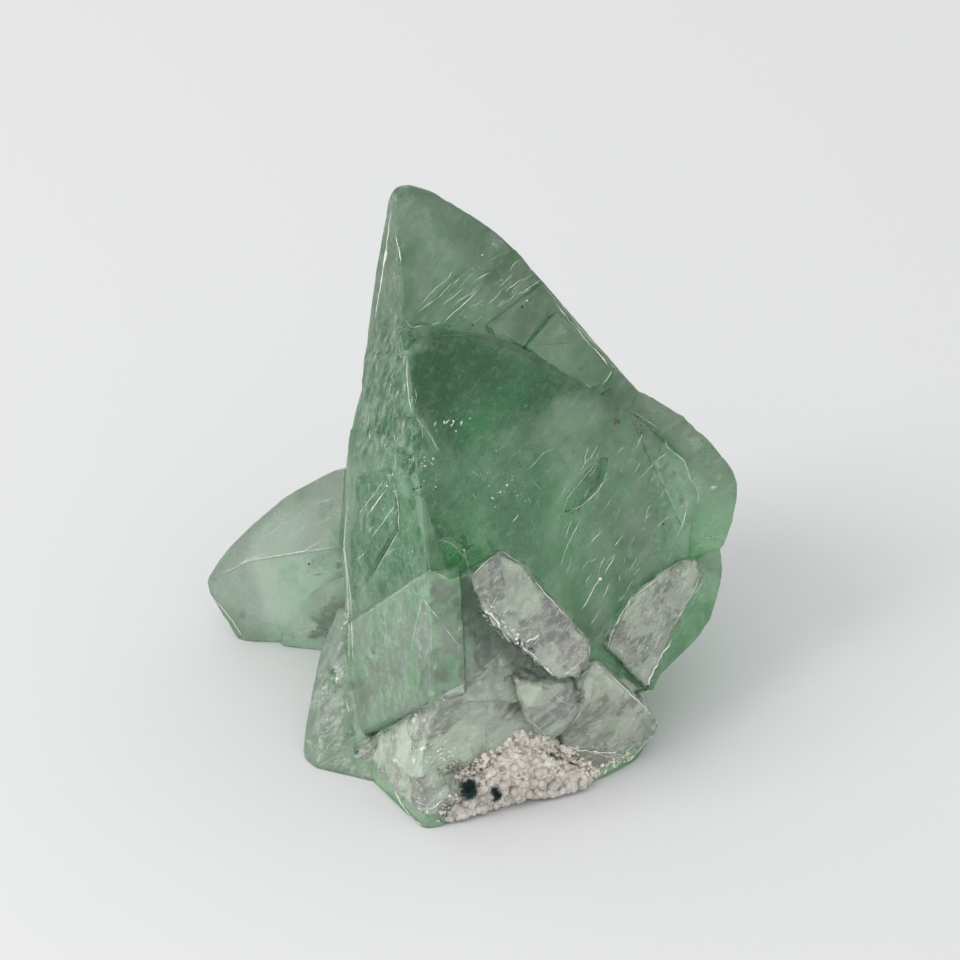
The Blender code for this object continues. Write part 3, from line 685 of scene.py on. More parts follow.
def crystals():
    """The intergrown crystals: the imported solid's faces in small cells, waved, etched, stepped and broken.

    Gives their points and triangles, and for the veils each point's share, tint and brokenness."""
    points, triangles = merged_node("crystal_cluster")
    points, triangles = divided(points, triangles, CELL)
    normals = point_normals(points, triangles)
    spots = seen_at(points)
    facing = np.einsum("ij,ij->i", normals, unit(EYE - points))
    shown = smooth(-0.05, 0.2, facing)
    tint = np.tile(BODY_TINT, (len(points), 1))
    clear = np.full(len(points), BODY_CLEAR)
    veil = np.full(len(points), BODY_VEIL)
    veil_tint = tint.copy()
    broken = np.full(len(points), BODY_BROKEN)
    ragged = RAGGED * layered_noise(points, 3.0, 131)
    reaches = {}
    for zone in SOFT_ZONES + CRISP_ZONES:
        reach = np.where(facing > 0.0, outline_distance(spots, zone.outline), -5.0)
        reaches[zone.name] = reach
        share = smooth(-zone.soft, zone.soft, reach + ragged * min(zone.soft, 1.0)) * shown
        wide = smooth(-zone.soft, zone.soft, reach + VEIL_REACH * (zone.veil > 1.0))
        veil += (zone.veil - veil) * wide
        veil_tint += (zone.tint - veil_tint) * wide[:, None]
        broken += (zone.broken - broken) * wide
        if zone in SOFT_ZONES:
            tint += (zone.tint - tint) * share[:, None]
            clear += (zone.clear - clear) * share
    etched = smooth(-0.6, 1.2, reaches["etched_zone"]) * shown
    wave = 0.08 * layered_noise(points, 7.0, 11) + 0.02 * layered_noise(points, 1.9, 23)
    facets = 0.22 * broken_facets(points * FACET_STRETCH, 1.9, 141) + 0.10 * broken_facets(points, 0.95, 151)
    wave += etched * etched_relief(points) + growth_steps(points, normals) * (1.0 - etched) + broken * facets
    wave += 0.018 * broken_facets(points, 6.0, 161) * (1.0 - etched)
    above = smooth(0.3, 2.0, points[:, 2])
    points = points + normals * (wave * above)[:, None]
    piece = new_piece("apophyllite_crystals", points, triangles, crystal_material(),
                      replaces=["crystal_cluster"], slot="apophyllite_green")
    piece.data.set_sharp_from_angle(angle=CREASE)
    point_value(piece.data, "tint", tint)
    point_value(piece.data, "clearness", clear)
    point_value(piece.data, "etched", etched)
    point_value(piece.data, "broken", broken)
    for zone in CRISP_ZONES:
        point_value(piece.data, zone.name, reaches[zone.name])
    return points, triangles, veil, veil_tint ** 0.8, broken


def shell_from(triangles, top, bottom):
    """A closed thin sheet: triangles on a top and a bottom set of points, joined by walls along their rim.

    Also gives which of the sets' points each of its points is."""
    used, inverse = np.unique(triangles, return_inverse=True)
    upper = inverse.reshape(-1, 3)
    lower = upper[:, ::-1] + len(used)
    directed = upper[:, [[0, 1], [1, 2], [2, 0]]].reshape(-1, 2)
    codes, reverse = directed @ [1 << 20, 1], directed @ [1, 1 << 20]
    rim = directed[~np.isin(codes, reverse)]
    a, b = rim.T
    walls = np.concatenate([
        np.stack([b, a, a + len(used)], axis=1), np.stack([b, a + len(used), b + len(used)], axis=1)])
    points = np.concatenate([top[used], bottom[used]])
    return points, np.concatenate([upper, lower, walls]), np.tile(used, 2)


def veil_material():
    """Milky veils sealed in the crystals: silky, broken into facets, green where they thin out."""
    material, nodes, shader, place = new_material("milky_veils")
    strength = nodes.attribute("strength").outputs["Fac"]
    tint = nodes.attribute("tint").outputs["Color"]
    broken = nodes.attribute("broken").outputs["Fac"]
    tone, seam, fine = nodes.grain(nodes.drawn_out(place, ALONG_BLOCK, 1.8), 2.4)
    silk = nodes.noise(nodes.drawn_out(place, ALONG_BLOCK, 5.0), 1.6, 4.0, 0.75)
    pale = tint
    for pattern, other in (
            (nodes.ramp(tone, 0.9, 0.1), (0.80, 0.88, 0.78, 1.0)),
            (nodes.ramp(silk, 0.42, 0.66), (1.0, 1.0, 0.97, 1.0)),
            (nodes.math("MULTIPLY", seam, 0.5), (0.62, 0.80, 0.62, 1.0)),
            (nodes.ramp(fine, 0.56, 0.68, 0.0, 0.35), (1.0, 0.95, 0.89, 1.0))):
        pale = nodes.mix(nodes.math("MULTIPLY", broken, pattern), pale, other)
    cloud = nodes.math("ADD", strength, nodes.math("MULTIPLY", nodes.math("SUBTRACT", fine, 0.5), 0.9))
    colour = nodes.mix(nodes.ramp(cloud, 0.05, 0.75), (0.36, 0.58, 0.39, 1.0), pale)
    nodes.set(shader.inputs["Base Color"], colour)
    shader.inputs["Roughness"].default_value = 0.35
    return material


VEIL_LAYERS = (  # name, depth in mm, how full, seed, hue
    ("outer_veils", 0.24, 0.72, 71, (1.0, 1.0, 1.0)),
    ("inner_veils", 0.65, 1.0, 171, (0.88, 1.0, 0.87)))
VEIL_THICKNESS = 0.06
LOWEST_VEIL = 1.5


def veils(points, triangles, veil, tint, broken):
    """Thin milky veils under the surface, at two depths, in patches where noise allows.

    A patch's strength is how far its zone's share lies over the noise there."""
    normals = point_normals(points, triangles)
    material = veil_material()
    high_enough = points[triangles].mean(axis=1)[:, 2] > LOWEST_VEIL
    for name, depth, fill, seed, hue in VEIL_LAYERS:
        top = points - normals * (depth * (1.0 + 0.4 * noise(points, 2.0, seed)))[:, None]
        bottom = top - normals * VEIL_THICKNESS
        grade = 0.5 + 0.5 * (0.55 * noise(points, 2.6, seed + 2) + 0.65 * noise(points, 0.9, seed + 3))
        strength = smooth(-0.02, 0.34, veil * fill - grade)
        keep = (strength[triangles].min(axis=1) > 0.0) & high_enough
        shell, faces, used = shell_from(triangles[keep], top, bottom)
        piece = new_piece(name, shell, faces, material, slot="apophyllite_green")
        point_value(piece.data, "strength", strength[used])
        point_value(piece.data, "tint", tint[used] * np.array(hue))
        point_value(piece.data, "broken", broken[used])


GLINT_CHIP_SIZE = 0.7  # a chip's radius against its spot's


def glints(tree, random):
    """Painted highlights: small white chips, at chosen places and strewn over some zones, that stand in for
    glints of light.
    """
    spots = np.concatenate([np.array(GLINT_SPOTS, float), patch_spots(GLINT_PATCHES, random)])
    places, _ = sight_hits(tree, spots[:, :2])
    seen = ~np.isnan(places[:, 0])
    chips = grains(grain_shape(5, 2), places[seen], spots[seen, 2] * GLINT_CHIP_SIZE, random, 0.7, 0.35)
    new_piece("glassy_chips", *chips, line_material("glassy_chips", (0.96, 0.99, 0.96), 0.12),
              slot="apophyllite_green", smooth_shaded=False)


# Bright and dark lines on the faces

def sight_hits(tree, pixels):
    """Where sight lines through those pixels meet the surface: points and normals, NaN where they miss."""
    middle = VIEW_MIDDLE + np.stack([
        (pixels[:, 0] - HALF_VIEW) / PIXELS_PER_MM, np.zeros(len(pixels)), np.zeros(len(pixels))], axis=1)
    middle = middle + (HALF_VIEW - pixels[:, 1:]) / PIXELS_PER_MM * SIGHT_UP
    hits = [tree.ray_cast(Vector(EYE), Vector(direction)) for direction in unit(middle - EYE)]
    places = np.array([hit[0] if hit[0] else (np.nan,) * 3 for hit in hits])
    normals = np.array([hit[1] if hit[0] else (np.nan,) * 3 for hit in hits])
    return places, normals


def smooth_path(corners, spacing):
    """Points at even steps along straight runs through the corners, rounded by two passes of averaging."""
    corners = np.array(corners, float)
    lengths = np.linalg.norm(np.diff(corners, axis=0), axis=1)
    along = np.concatenate([[0.0], np.cumsum(lengths)])
    count = max(4, int(along[-1] / spacing) + 1)
    t = np.linspace(0.0, along[-1], count)
    path = np.stack([np.interp(t, along, corners[:, k]) for k in range(2)], axis=1)
    for _ in range(2):
        path[1:-1] = (path[:-2] + 2.0 * path[1:-1] + path[2:]) / 4.0
    return path


def ridge_strip(places, normals, width, seed):
    """A thin closed ridge along a path: three-sided, tapered at both ends, its width varied by noise."""
    step = np.gradient(places, axis=0)
    side = unit(np.cross(step, normals))
    t = np.linspace(0.0, 1.0, len(places))
    taper = np.minimum(1.0, np.minimum(t, 1.0 - t) * 6.0 + 0.08)
    wide = width * taper * (0.75 + 0.55 * noise(places, 0.7, seed))
    wide = np.maximum(wide, 0.02)[:, None]
    shift = side * (0.5 * width * noise(places, 0.5, seed + 1))[:, None]
    rows = np.stack([
        places + shift - side * wide / 2 - normals * 0.03,
        places + shift + normals * (0.25 * wide + 0.015),
        places + shift + side * wide / 2 - normals * 0.03], axis=1)
    return rows


def tube_mesh(rows):
    """Points and triangles of a closed tube from its rows of ring points, with both ends closed."""
    count, ring = rows.shape[:2]
    number = np.arange(count * ring).reshape(count, ring)
    a, b = number[:-1], np.roll(number, -1, axis=1)[:-1]
    c, d = number[1:], np.roll(number, -1, axis=1)[1:]
    sides = np.concatenate([np.stack([a, b, d], axis=2), np.stack([a, d, c], axis=2)]).reshape(-1, 3)
    caps = [(0, k + 1, k) for k in range(1, ring - 1)]
    last = (count - 1) * ring
    caps += [(last, last + k, last + k + 1) for k in range(1, ring - 1)]
    return rows.reshape(-1, 3), np.concatenate([sides, np.array(caps)])


def joined(parts):
    """Several (points, triangles) as one."""
    offsets = np.cumsum([0] + [len(points) for points, faces in parts[:-1]])
    return (np.concatenate([points for points, faces in parts]),
            np.concatenate([faces + offset for (points, faces), offset in zip(parts, offsets)]))


LINE_SWELL = 1.45
DEPTH_JUMP = 1.2  # mm


def line_parts(tree, lines, seed):
    """Ridges along lines given in the photograph's pixels: (width in mm, corners).

    A line breaks where the surface jumps in depth."""
    parts = []
    for index, (width, corners) in enumerate(lines):
        places, normals = sight_hits(tree, smooth_path(corners, 2.0))
        jumps = np.linalg.norm(np.diff(places, axis=0), axis=1)
        cuts = np.flatnonzero(~(jumps < DEPTH_JUMP)) + 1
        for run in np.split(np.arange(len(places)), cuts):
            if len(run) >= 4 and not np.isnan(places[run]).any():
                rows = ridge_strip(places[run], normals[run], width * LINE_SWELL, seed + 7 * index)
                parts.append(tube_mesh(rows))
    return parts


# White ridges along edges and cleavage lines: partly frosted edges and cracks, partly painted highlights
# where light glints.
WHITE_LINES = [
    (0.16, [(555, 302), (575, 327), (600, 355), (612, 371)]),
    (0.10, [(558, 301), (580, 328), (604, 355), (614, 368)]),
    (0.12, [(612, 371), (608, 378), (603, 384)]),
    (0.12, [(585, 384), (592, 388)]),
    (0.10, [(407, 356), (407, 376), (409, 398), (412, 414)]),
    (0.18, [(391, 212), (386, 250), (381, 284), (375, 318)]),
    (0.30, [(387, 250), (384, 268)]),
    (0.10, [(396, 236), (401, 262)]),
    (0.14, [(448, 279), (452, 272)]),
    (0.08, [(420, 305), (434, 290), (450, 277)]),
    (0.07, [(418, 312), (440, 296), (455, 280)]),
    (0.10, [(443, 322), (465, 303), (480, 288)]),
    (0.10, [(430, 326), (440, 321)]),
    (0.10, [(406, 320), (411, 328), (424, 325)]),
    (0.16, [(444, 424), (449, 419)]),
    (0.20, [(450, 427), (454, 421)]),
    (0.18, [(460, 425), (463, 421)]),
    (0.12, [(433, 426), (437, 421)]),
    (0.10, [(566, 514), (580, 507), (597, 492), (607, 477)]),
    (0.07, [(563, 511), (568, 497), (586, 475), (600, 459)]),
    (0.08, [(615, 554), (611, 563)]),
    (0.14, [(600, 578), (592, 592), (582, 610)]),
    (0.08, [(592, 572), (586, 583)]),
    (0.20, [(632, 597), (624, 610), (615, 627)]),
    (0.12, [(615, 627), (610, 640), (607, 650)]),
    (0.24, [(672, 640), (662, 656), (651, 676), (646, 690)]),
    (0.12, [(700, 578), (690, 598), (676, 622)]),
    (0.08, [(681, 561), (668, 569), (650, 584), (634, 597)]),
    (0.09, [(394, 484), (399, 508), (399, 531), (388, 550), (375, 573)]),
    (0.08, [(366, 517), (378, 500), (389, 486)]),
    (0.10, [(370, 513), (384, 492)]),
    (0.09, [(371, 538), (384, 521), (396, 504)]),
    (0.07, [(364, 508), (376, 491), (384, 480)]),
    (0.09, [(343, 546), (347, 576), (349, 624), (349, 660)]),
    (0.07, [(348, 498), (344, 545), (351, 600), (353, 660)]),
    (0.07, [(440, 540), (450, 543), (457, 548), (463, 556), (470, 566)]),
    (0.06, [(463, 548), (466, 560), (470, 572)]),
    (0.06, [(350, 624), (386, 600), (422, 575), (430, 570), (450, 580)]),
    (0.06, [(422, 598), (440, 621), (464, 652)]),
    (0.05, [(422, 598), (417, 620), (411, 648)]),
    (0.26, [(480, 613), (490, 613), (497, 621), (503, 632), (515, 643)]),
    (0.30, [(499, 626), (508, 638), (514, 642)]),
    (0.18, [(516, 643), (530, 652), (545, 666), (556, 677)]),
    (0.22, [(525, 642), (533, 640), (540, 634)]),
    (0.14, [(580, 676), (588, 671), (590, 643)]),
    (0.10, [(590, 642), (566, 616), (540, 588), (526, 567), (501, 551)]),
    (0.08, [(501, 551), (487, 561), (472, 575)]),
    (0.12, [(562, 676), (575, 668), (586, 655)]),
    (0.08, [(556, 668), (570, 660), (583, 646)]),
    (0.16, [(592, 662), (608, 673), (622, 686), (640, 703), (655, 720)]),
    (0.10, [(657, 727), (645, 744), (632, 758), (612, 768), (594, 777)]),
    (0.16, [(562, 743), (578, 750), (594, 752), (614, 753), (629, 758)]),
    (0.10, [(590, 752), (606, 756), (622, 762)]),
    (0.08, [(358, 746), (400, 721), (439, 698), (467, 682), (512, 644)]),
    (0.14, [(347, 702), (349, 712)]),
    (0.16, [(430, 764), (436, 758), (444, 752)]),
    (0.20, [(438, 756), (447, 760)]),
    (0.14, [(424, 748), (434, 742)]),
    (0.12, [(394, 790), (402, 805), (412, 818), (426, 828)]),
    (0.18, [(424, 812), (434, 808), (444, 798)]),
    (0.10, [(414, 800), (426, 806), (438, 796)]),
    (0.08, [(660, 430), (668, 448), (684, 460), (690, 478), (699, 492), (696, 510)]),
    (0.10, [(688, 500), (684, 520), (676, 540)]),
    (0.08, [(626, 409), (640, 416), (660, 430)]),
    (0.07, [(640, 478), (655, 462), (668, 452)]),
    (0.08, [(416, 418), (428, 432), (439, 452)]),
    (0.10, [(512, 523), (519, 514)]),
    (0.07, [(560, 566), (568, 544), (580, 521)]),
    (0.06, [(528, 470), (545, 452), (560, 446)]),
    (0.07, [(213, 578), (250, 560), (300, 552), (341, 546)]),
    (0.12, [(208, 592), (222, 608), (232, 620), (243, 637)]),
    (0.10, [(548, 688), (560, 700), (574, 706)]),
    (0.07, [(526, 717), (540, 730), (549, 741)]),
    (0.07, [(545, 688), (534, 702), (525, 717)]),
    (0.08, [(603, 685), (590, 700), (579, 714), (566, 732)]),
]
# Dark lines along facet and band borders.
DARK_LINES = [
    (0.10, [(520, 345), (535, 332), (550, 320), (556, 311)]),
    (0.07, [(475, 333), (490, 320), (515, 300), (530, 292), (547, 292)]),
    (0.09, [(417, 320), (450, 296), (474, 268), (482, 234)]),
    (0.08, [(437, 328), (462, 301), (490, 273), (511, 254)]),
    (0.06, [(526, 346), (555, 344), (582, 342)]),
    (0.12, [(512, 316), (520, 305), (532, 300)]),
    (0.10, [(505, 335), (525, 347), (567, 375), (590, 390)]),
    (0.16, [(412, 488), (421, 487)]),
    (0.06, [(213, 580), (250, 562), (300, 554), (340, 548)]),
    (0.10, [(559, 536), (563, 520), (560, 514)]),
    (0.10, [(486, 450), (478, 470), (486, 500), (496, 530)]),
    (0.07, [(535, 425), (531, 445), (538, 462)]),
    (0.10, [(596, 655), (612, 664), (630, 680), (645, 692)]),
]


# Places of the painted highlights, drawn as small white chips.
# Each spot: across, down, and radius in mm.
GLINT_SPOTS = [
    (464, 395, 0.10), (526, 406, 0.10), (496, 451, 0.12), (520, 451, 0.08), (482, 255, 0.14),
    (479, 267, 0.16), (472, 269, 0.12), (501, 280, 0.10), (465, 317, 0.12), (457, 310, 0.10),
    (527, 301, 0.12), (530, 270, 0.12), (444, 422, 0.16), (451, 425, 0.22), (453, 421, 0.18),
    (461, 423, 0.20), (437, 430, 0.10), (456, 431, 0.10), (507, 485, 0.16), (492, 498, 0.18),
    (515, 491, 0.14), (512, 480, 0.10), (500, 492, 0.10), (409, 553, 0.14), (413, 552, 0.18),
    (600, 579, 0.18), (632, 598, 0.24), (628, 604, 0.14), (464, 550, 0.12), (353, 601, 0.10),
    (342, 628, 0.12), (647, 648, 0.12), (629, 757, 0.22), (430, 757, 0.14), (444, 760, 0.20),
    (438, 751, 0.16), (427, 812, 0.18), (434, 806, 0.14), (387, 486, 0.14), (386, 460, 0.14),
    (408, 472, 0.16), (433, 459, 0.14), (535, 718, 0.14), (528, 742, 0.18), (546, 740, 0.16),
    (590, 664, 0.12), (656, 722, 0.12), (348, 706, 0.14)]
GLINT_PATCHES = [  # outline, how many, least and greatest radius in mm
    ([(476, 606), (500, 606), (522, 640), (512, 648), (484, 620)], 46, 0.07, 0.20),
    ([(512, 644), (556, 672), (582, 670), (578, 678), (552, 678)], 26, 0.06, 0.14),
    ([(480, 566), (520, 566), (580, 650), (540, 650)], 26, 0.04, 0.09),
    ([(418, 738), (456, 730), (470, 762), (430, 776)], 40, 0.05, 0.15),
    ([(404, 794), (440, 786), (450, 806), (424, 824)], 26, 0.06, 0.14),
    ([(470, 690), (520, 700), (540, 745), (480, 750)], 34, 0.04, 0.10),
    ([(380, 330), (412, 330), (424, 470), (362, 460)], 14, 0.04, 0.08),
    ([(380, 455), (440, 455), (440, 490), (384, 488)], 30, 0.05, 0.13),
    ([(430, 410), (470, 410), (476, 436), (436, 436)], 16, 0.04, 0.10),
    ([(480, 470), (530, 470), (530, 510), (484, 510)], 22, 0.04, 0.10),
    ([(560, 450), (640, 440), (680, 520), (600, 620)], 16, 0.03, 0.07),
    ([(604, 640), (640, 580), (690, 564), (650, 680)], 26, 0.04, 0.10),
    ([(440, 290), (500, 250), (530, 290), (460, 325)], 24, 0.03, 0.08),
    ([(560, 745), (620, 748), (640, 757), (610, 764)], 20, 0.06, 0.13)]


# Each fleck patch: its outline, how many flecks, their slope in degrees, their least and greatest length in
# pixels, and their least and greatest width in mm.
FLECK_PATCHES = [
    ([(560, 450), (640, 430), (700, 480), (690, 580), (600, 640), (560, 560)], 46, 118, 6, 20, 0.03, 0.07),
    ([(590, 560), (700, 560), (700, 600), (650, 650), (600, 640)], 22, 125, 5, 18, 0.03, 0.08),
    ([(430, 290), (500, 250), (545, 290), (470, 325)], 26, 140, 8, 26, 0.03, 0.07),
    ([(360, 470), (398, 470), (398, 560), (360, 590)], 12, 126, 6, 20, 0.03, 0.07),
    ([(380, 320), (410, 330), (428, 470), (355, 460)], 34, 100, 4, 14, 0.02, 0.06),
    ([(472, 575), (500, 555), (590, 640), (580, 676), (515, 645)], 60, 128, 5, 15, 0.03, 0.07),
    ([(405, 700), (470, 685), (520, 740), (470, 765), (425, 770)], 46, 150, 4, 14, 0.03, 0.08),
    ([(610, 650), (640, 600), (690, 565), (648, 686)], 30, 122, 6, 22, 0.03, 0.07),
    ([(430, 500), (520, 450), (570, 520), (500, 560)], 12, 60, 4, 12, 0.02, 0.05),
    ([(580, 714), (603, 686), (655, 720), (628, 756), (592, 750)], 30, 155, 6, 22, 0.03, 0.06),
    ([(250, 530), (330, 480), (340, 540), (240, 570)], 8, 158, 14, 40, 0.03, 0.05),
    ([(350, 640), (440, 585), (500, 620), (450, 690), (370, 730)], 10, 120, 4, 14, 0.02, 0.05)]


FLECK_SWELL = 1.15


def flecks(random):
    """Short bright cleavage lines strewn over outlines seen in the photograph, as (width, corners)."""
    lines = []
    for corners, count, slope, short, long, thin, wide in FLECK_PATCHES:
        spots = patch_spots([(corners, count, thin, FLECK_SWELL * wide)], random)
        turns = np.radians(slope + random.normal(size=len(spots)) * 9.0)
        reach = 0.5 * random.uniform(short, long, len(spots))
        way = np.stack([np.cos(turns), np.sin(turns)], axis=1) * reach[:, None]
        middle = spots[:, :2]
        bow = random.normal(size=(len(spots), 2)) * 0.12 * reach[:, None]
        paths = np.stack([middle - way, middle + bow, middle + way], axis=1)
        lines += list(zip(spots[:, 2], paths))
    return lines


def line_material(name, colour, rough):
    """Finish of thin lines: one colour, a little uneven."""
    material, nodes, shader, place = new_material(name)
    uneven = nodes.noise(place, 3.0, 2.0)
    darker = tuple(0.75 * part for part in colour)
    nodes.set(shader.inputs["Base Color"], nodes.mix(uneven, (*darker, 1.0), (*colour, 1.0)))
    shader.inputs["Roughness"].default_value = rough
    return material


def face_lines(tree):
    """White lines on edges and cleavages, partly frosted and partly painted highlights, and dark lines on the
    faces.
    """
    lines = WHITE_LINES + flecks(np.random.default_rng(59))
    white = joined(line_parts(tree, lines, 100))
    new_piece("frosted_edges", *white, line_material("frosted_edges", (0.97, 0.99, 0.96), 0.2),
              slot="apophyllite_green")
    dark = joined(line_parts(tree, DARK_LINES, 900))
    new_piece("fine_cracks", *dark, line_material("fine_cracks", (0.16, 0.34, 0.22), 0.5),
              slot="apophyllite_green")


# Matrix crust and celadonite

def grain_shape(around, rows):
    """A unit ball on a grid: angle round by height, with closed poles."""
    turn = np.linspace(0.0, 2.0 * math.pi, around, endpoint=False)
    lift = np.linspace(-math.pi / 2, math.pi / 2, rows + 2)[1:-1]
    ring = np.stack([
        np.cos(lift)[:, None] * np.cos(turn), np.cos(lift)[:, None] * np.sin(turn),
        np.repeat(np.sin(lift)[:, None], around, axis=1)], axis=2).reshape(-1, 3)
    points = np.concatenate([ring, [[0.0, 0.0, -1.0], [0.0, 0.0, 1.0]]])
    number = np.arange(rows * around).reshape(rows, around)
    after = np.roll(number, -1, axis=1)
    a, b, c, d = number[:-1], after[:-1], number[1:], after[1:]
    faces = [np.stack([a, b, d], axis=2).reshape(-1, 3), np.stack([a, d, c], axis=2).reshape(-1, 3)]
    south, north = rows * around, rows * around + 1
    faces.append(np.stack([after[0], number[0], np.full(around, south)], axis=1))
    faces.append(np.stack([number[-1], after[-1], np.full(around, north)], axis=1))
    return points, np.concatenate(faces)


def scattered(points, triangles, count, random, weight=None):
    """Random places on a surface, even by area times weight, with their normals."""
    a, b, c = (points[triangles[:, k]] for k in range(3))
    cross = np.cross(b - a, c - a)
    area = np.linalg.norm(cross, axis=1) * (1.0 if weight is None else weight)
    chosen = random.choice(len(triangles), count, p=area / area.sum())
    u, v = random.random((2, count, 1))
    flip = u + v > 1.0
    u, v = np.where(flip, 1.0 - u, u), np.where(flip, 1.0 - v, v)
    places = a[chosen] + u * (b - a)[chosen] + v * (c - a)[chosen]
    return places, unit(cross[chosen])


def grains(shape, places, sizes, random, squash=0.25, lumpy=0.12):
    """One grain of the shape at each place, each turned, stretched and dented in its own way."""
    points, faces = shape
    count = len(places)
    turns, _ = np.linalg.qr(random.normal(size=(count, 3, 3)))
    turns *= np.sign(np.linalg.det(turns))[:, None, None]
    stretch = 1.0 + squash * random.uniform(-1.0, 1.0, (count, 1, 3))
    dents = 1.0 + lumpy * random.uniform(-1.0, 1.0, (count, len(points), 1))
    all_points = np.einsum("nij,nkj->nki", turns, points[None] * stretch * dents)
    all_points = all_points * sizes[:, None, None] + places[:, None]
    all_faces = faces[None] + (np.arange(count) * len(points))[:, None, None]
    return all_points.reshape(-1, 3), all_faces.reshape(-1, 3)


def crust_material():
    """Granular matrix: beige, grey and white grains, with brown painted shade in the bed's hollows and some
    crumbs of a darker tone.
    """
    material, nodes, shader, place = new_material("matrix_beige")
    hollow_shade_and_dark_grains = nodes.attribute("hollow_shade_and_dark_grains").outputs["Fac"]
    patches = nodes.noise(place, 0.7, 3.0, 0.6)
    speckle = nodes.noise(place, 4.0, 2.0, 0.7)
    colour = nodes.mix(nodes.ramp(patches, 0.35, 0.65), (0.80, 0.74, 0.66, 1.0), (0.96, 0.94, 0.89, 1.0))
    colour = nodes.mix(nodes.ramp(speckle, 0.35, 0.60, 0.4, 0.0), colour, (0.42, 0.35, 0.29, 1.0))
    # Darker brown where the value is high: painted shade in the bed's hollows, and the darker tone of some
    # crumbs.
    colour = nodes.mix(nodes.ramp(hollow_shade_and_dark_grains, 0.0, 1.0, 0.0, 0.75), colour, (0.22, 0.175, 0.14, 1.0))
    nodes.set(shader.inputs["Base Color"], colour)
    shader.inputs["Roughness"].default_value = 0.55
    bump = nodes.add("ShaderNodeBump", {"Height": speckle, "Strength": 0.8, "Distance": 0.00015})
    nodes.set(shader.inputs["Normal"], bump.outputs[0])
    return material


def grain_material():
    """Small round grains: grey-beige and half see-through, with a glassy skin."""
    material, nodes, shader, place = new_material("crust_grains")
    patches = nodes.noise(place, 0.9, 2.0, 0.6)
    colour = nodes.mix(nodes.ramp(patches, 0.3, 0.7), (0.70, 0.65, 0.56, 1.0), (0.95, 0.93, 0.88, 1.0))
    nodes.set(shader.inputs["Base Color"], colour)
    shader.inputs["Roughness"].default_value = 0.18
    shader.inputs["IOR"].default_value = 1.53
    shader.inputs["Transmission Weight"].default_value = 0.35
    return material


def crust():
    """The crust of matrix: a lumpy bed, round glassy grains along its foot, and crumbs all over it.

    Gives the bed's points and triangles."""
    random = np.random.default_rng(41)
    points, triangles = merged_node("matrix_crust")
    points, triangles = divided(points, triangles, CRUST_CELL)
    normals = point_normals(points, triangles)
    lumps = 0.22 * layered_noise(points, 1.3, 81, 2) + 0.10 * ridged(points, 0.6, 84)
    above = smooth(0.0, 0.5, points[:, 2])
    bed = points + normals * (lumps * above)[:, None]
    bed[:, 2] = np.maximum(bed[:, 2], 0.0)
    piece = new_piece("crust_bed", bed, triangles, crust_material(),
                      replaces=["matrix_crust"], slot="matrix_beige")
    # The bed is darker where its lumps sink: painted shade in the hollows.
    point_value(piece.data, "hollow_shade_and_dark_grains", smooth(0.05, -0.22, lumps))
    front = smooth(-0.2, 0.3, -point_normals(bed, triangles)[triangles].mean(axis=1)[:, 1])
    low = smooth(5.0, 1.5, bed[triangles].mean(axis=1)[:, 2])
    places, out = scattered(bed, triangles, 150, random, front * (0.25 + low))
    sizes = random.uniform(0.30, 0.62, len(places))
    places = places + out * 0.1
    places[:, 2] = np.maximum(places[:, 2], sizes * 1.2)
    round_grains = grains(grain_shape(8, 4), places, sizes, random, 0.2, 0.05)
    new_piece("crust_grains", *round_grains, grain_material(), slot="matrix_beige")
    places, out = scattered(bed, triangles, 900, random, 0.15 + front)
    sizes = random.uniform(0.08, 0.22, len(places))
    places[:, 2] = np.maximum(places[:, 2], sizes * 1.2)
    crumbs = grains(grain_shape(5, 2), places, sizes, random, 0.3, 0.25)
    piece = new_piece("crust_crumbs", *crumbs, crust_material(), slot="matrix_beige", smooth_shaded=False)
    shade = random.random(len(places)) ** 3
    point_value(piece.data, "hollow_shade_and_dark_grains", np.repeat(shade, len(crumbs[0]) // len(places)))
    return bed, triangles


DRUSE_PATCHES = [  # outline, how many, least and greatest radius in mm
    ([(452, 778), (478, 758), (520, 736), (560, 742), (592, 764), (604, 780), (560, 776), (520, 758),
      (484, 782)], 650, 0.10, 0.30),
    ([(500, 748), (520, 730), (556, 738), (572, 752), (540, 752)], 160, 0.12, 0.34),
    ([(590, 768), (632, 750), (640, 752), (610, 776)], 60, 0.08, 0.20),
    ([(440, 806), (454, 790), (458, 800), (446, 822), (436, 824)], 40, 0.08, 0.18)]
SPECK_PATCHES = [
    ([(614, 418), (620, 418), (620, 424), (614, 424)], 9, 0.06, 0.12),
    ([(634, 412), (640, 418), (646, 438), (640, 436)], 26, 0.03, 0.08),
    ([(436, 762), (480, 764), (478, 776), (438, 776)], 40, 0.03, 0.08)]
DARK_SPECKS = [
    (472, 325, 0.14), (309, 564, 0.12), (663, 524, 0.13), (522, 307, 0.15), (414, 489, 0.14),
    (418, 488, 0.12), (421, 487, 0.12), (487, 327, 0.08), (645, 689, 0.14), (648, 686, 0.12)]
FRINGES = [  # from and to across and down in the photograph, how many fibres, and their lengths in mm
    ((440, 772), (478, 768), 90, 0.9, 1.7),
    ((452, 800), (443, 820), 60, 0.5, 1.0),
    ((486, 798), (500, 802), 36, 0.4, 0.9)]


def patch_spots(patches, random):
    """Random places in outlines seen in the photograph: across, down, and a radius."""
    spots = []
    for corners, count, low, high in patches:
        outline = np.array(corners, float)
        tries = random.uniform(outline.min(axis=0), outline.max(axis=0), (count * 5, 2))
        inside = tries[inside_outline(tries, outline, np.roll(outline, -1, axis=0))][:count]
        spots.append(np.concatenate([inside, random.uniform(low, high, (len(inside), 1))], axis=1))
    return np.concatenate(spots)


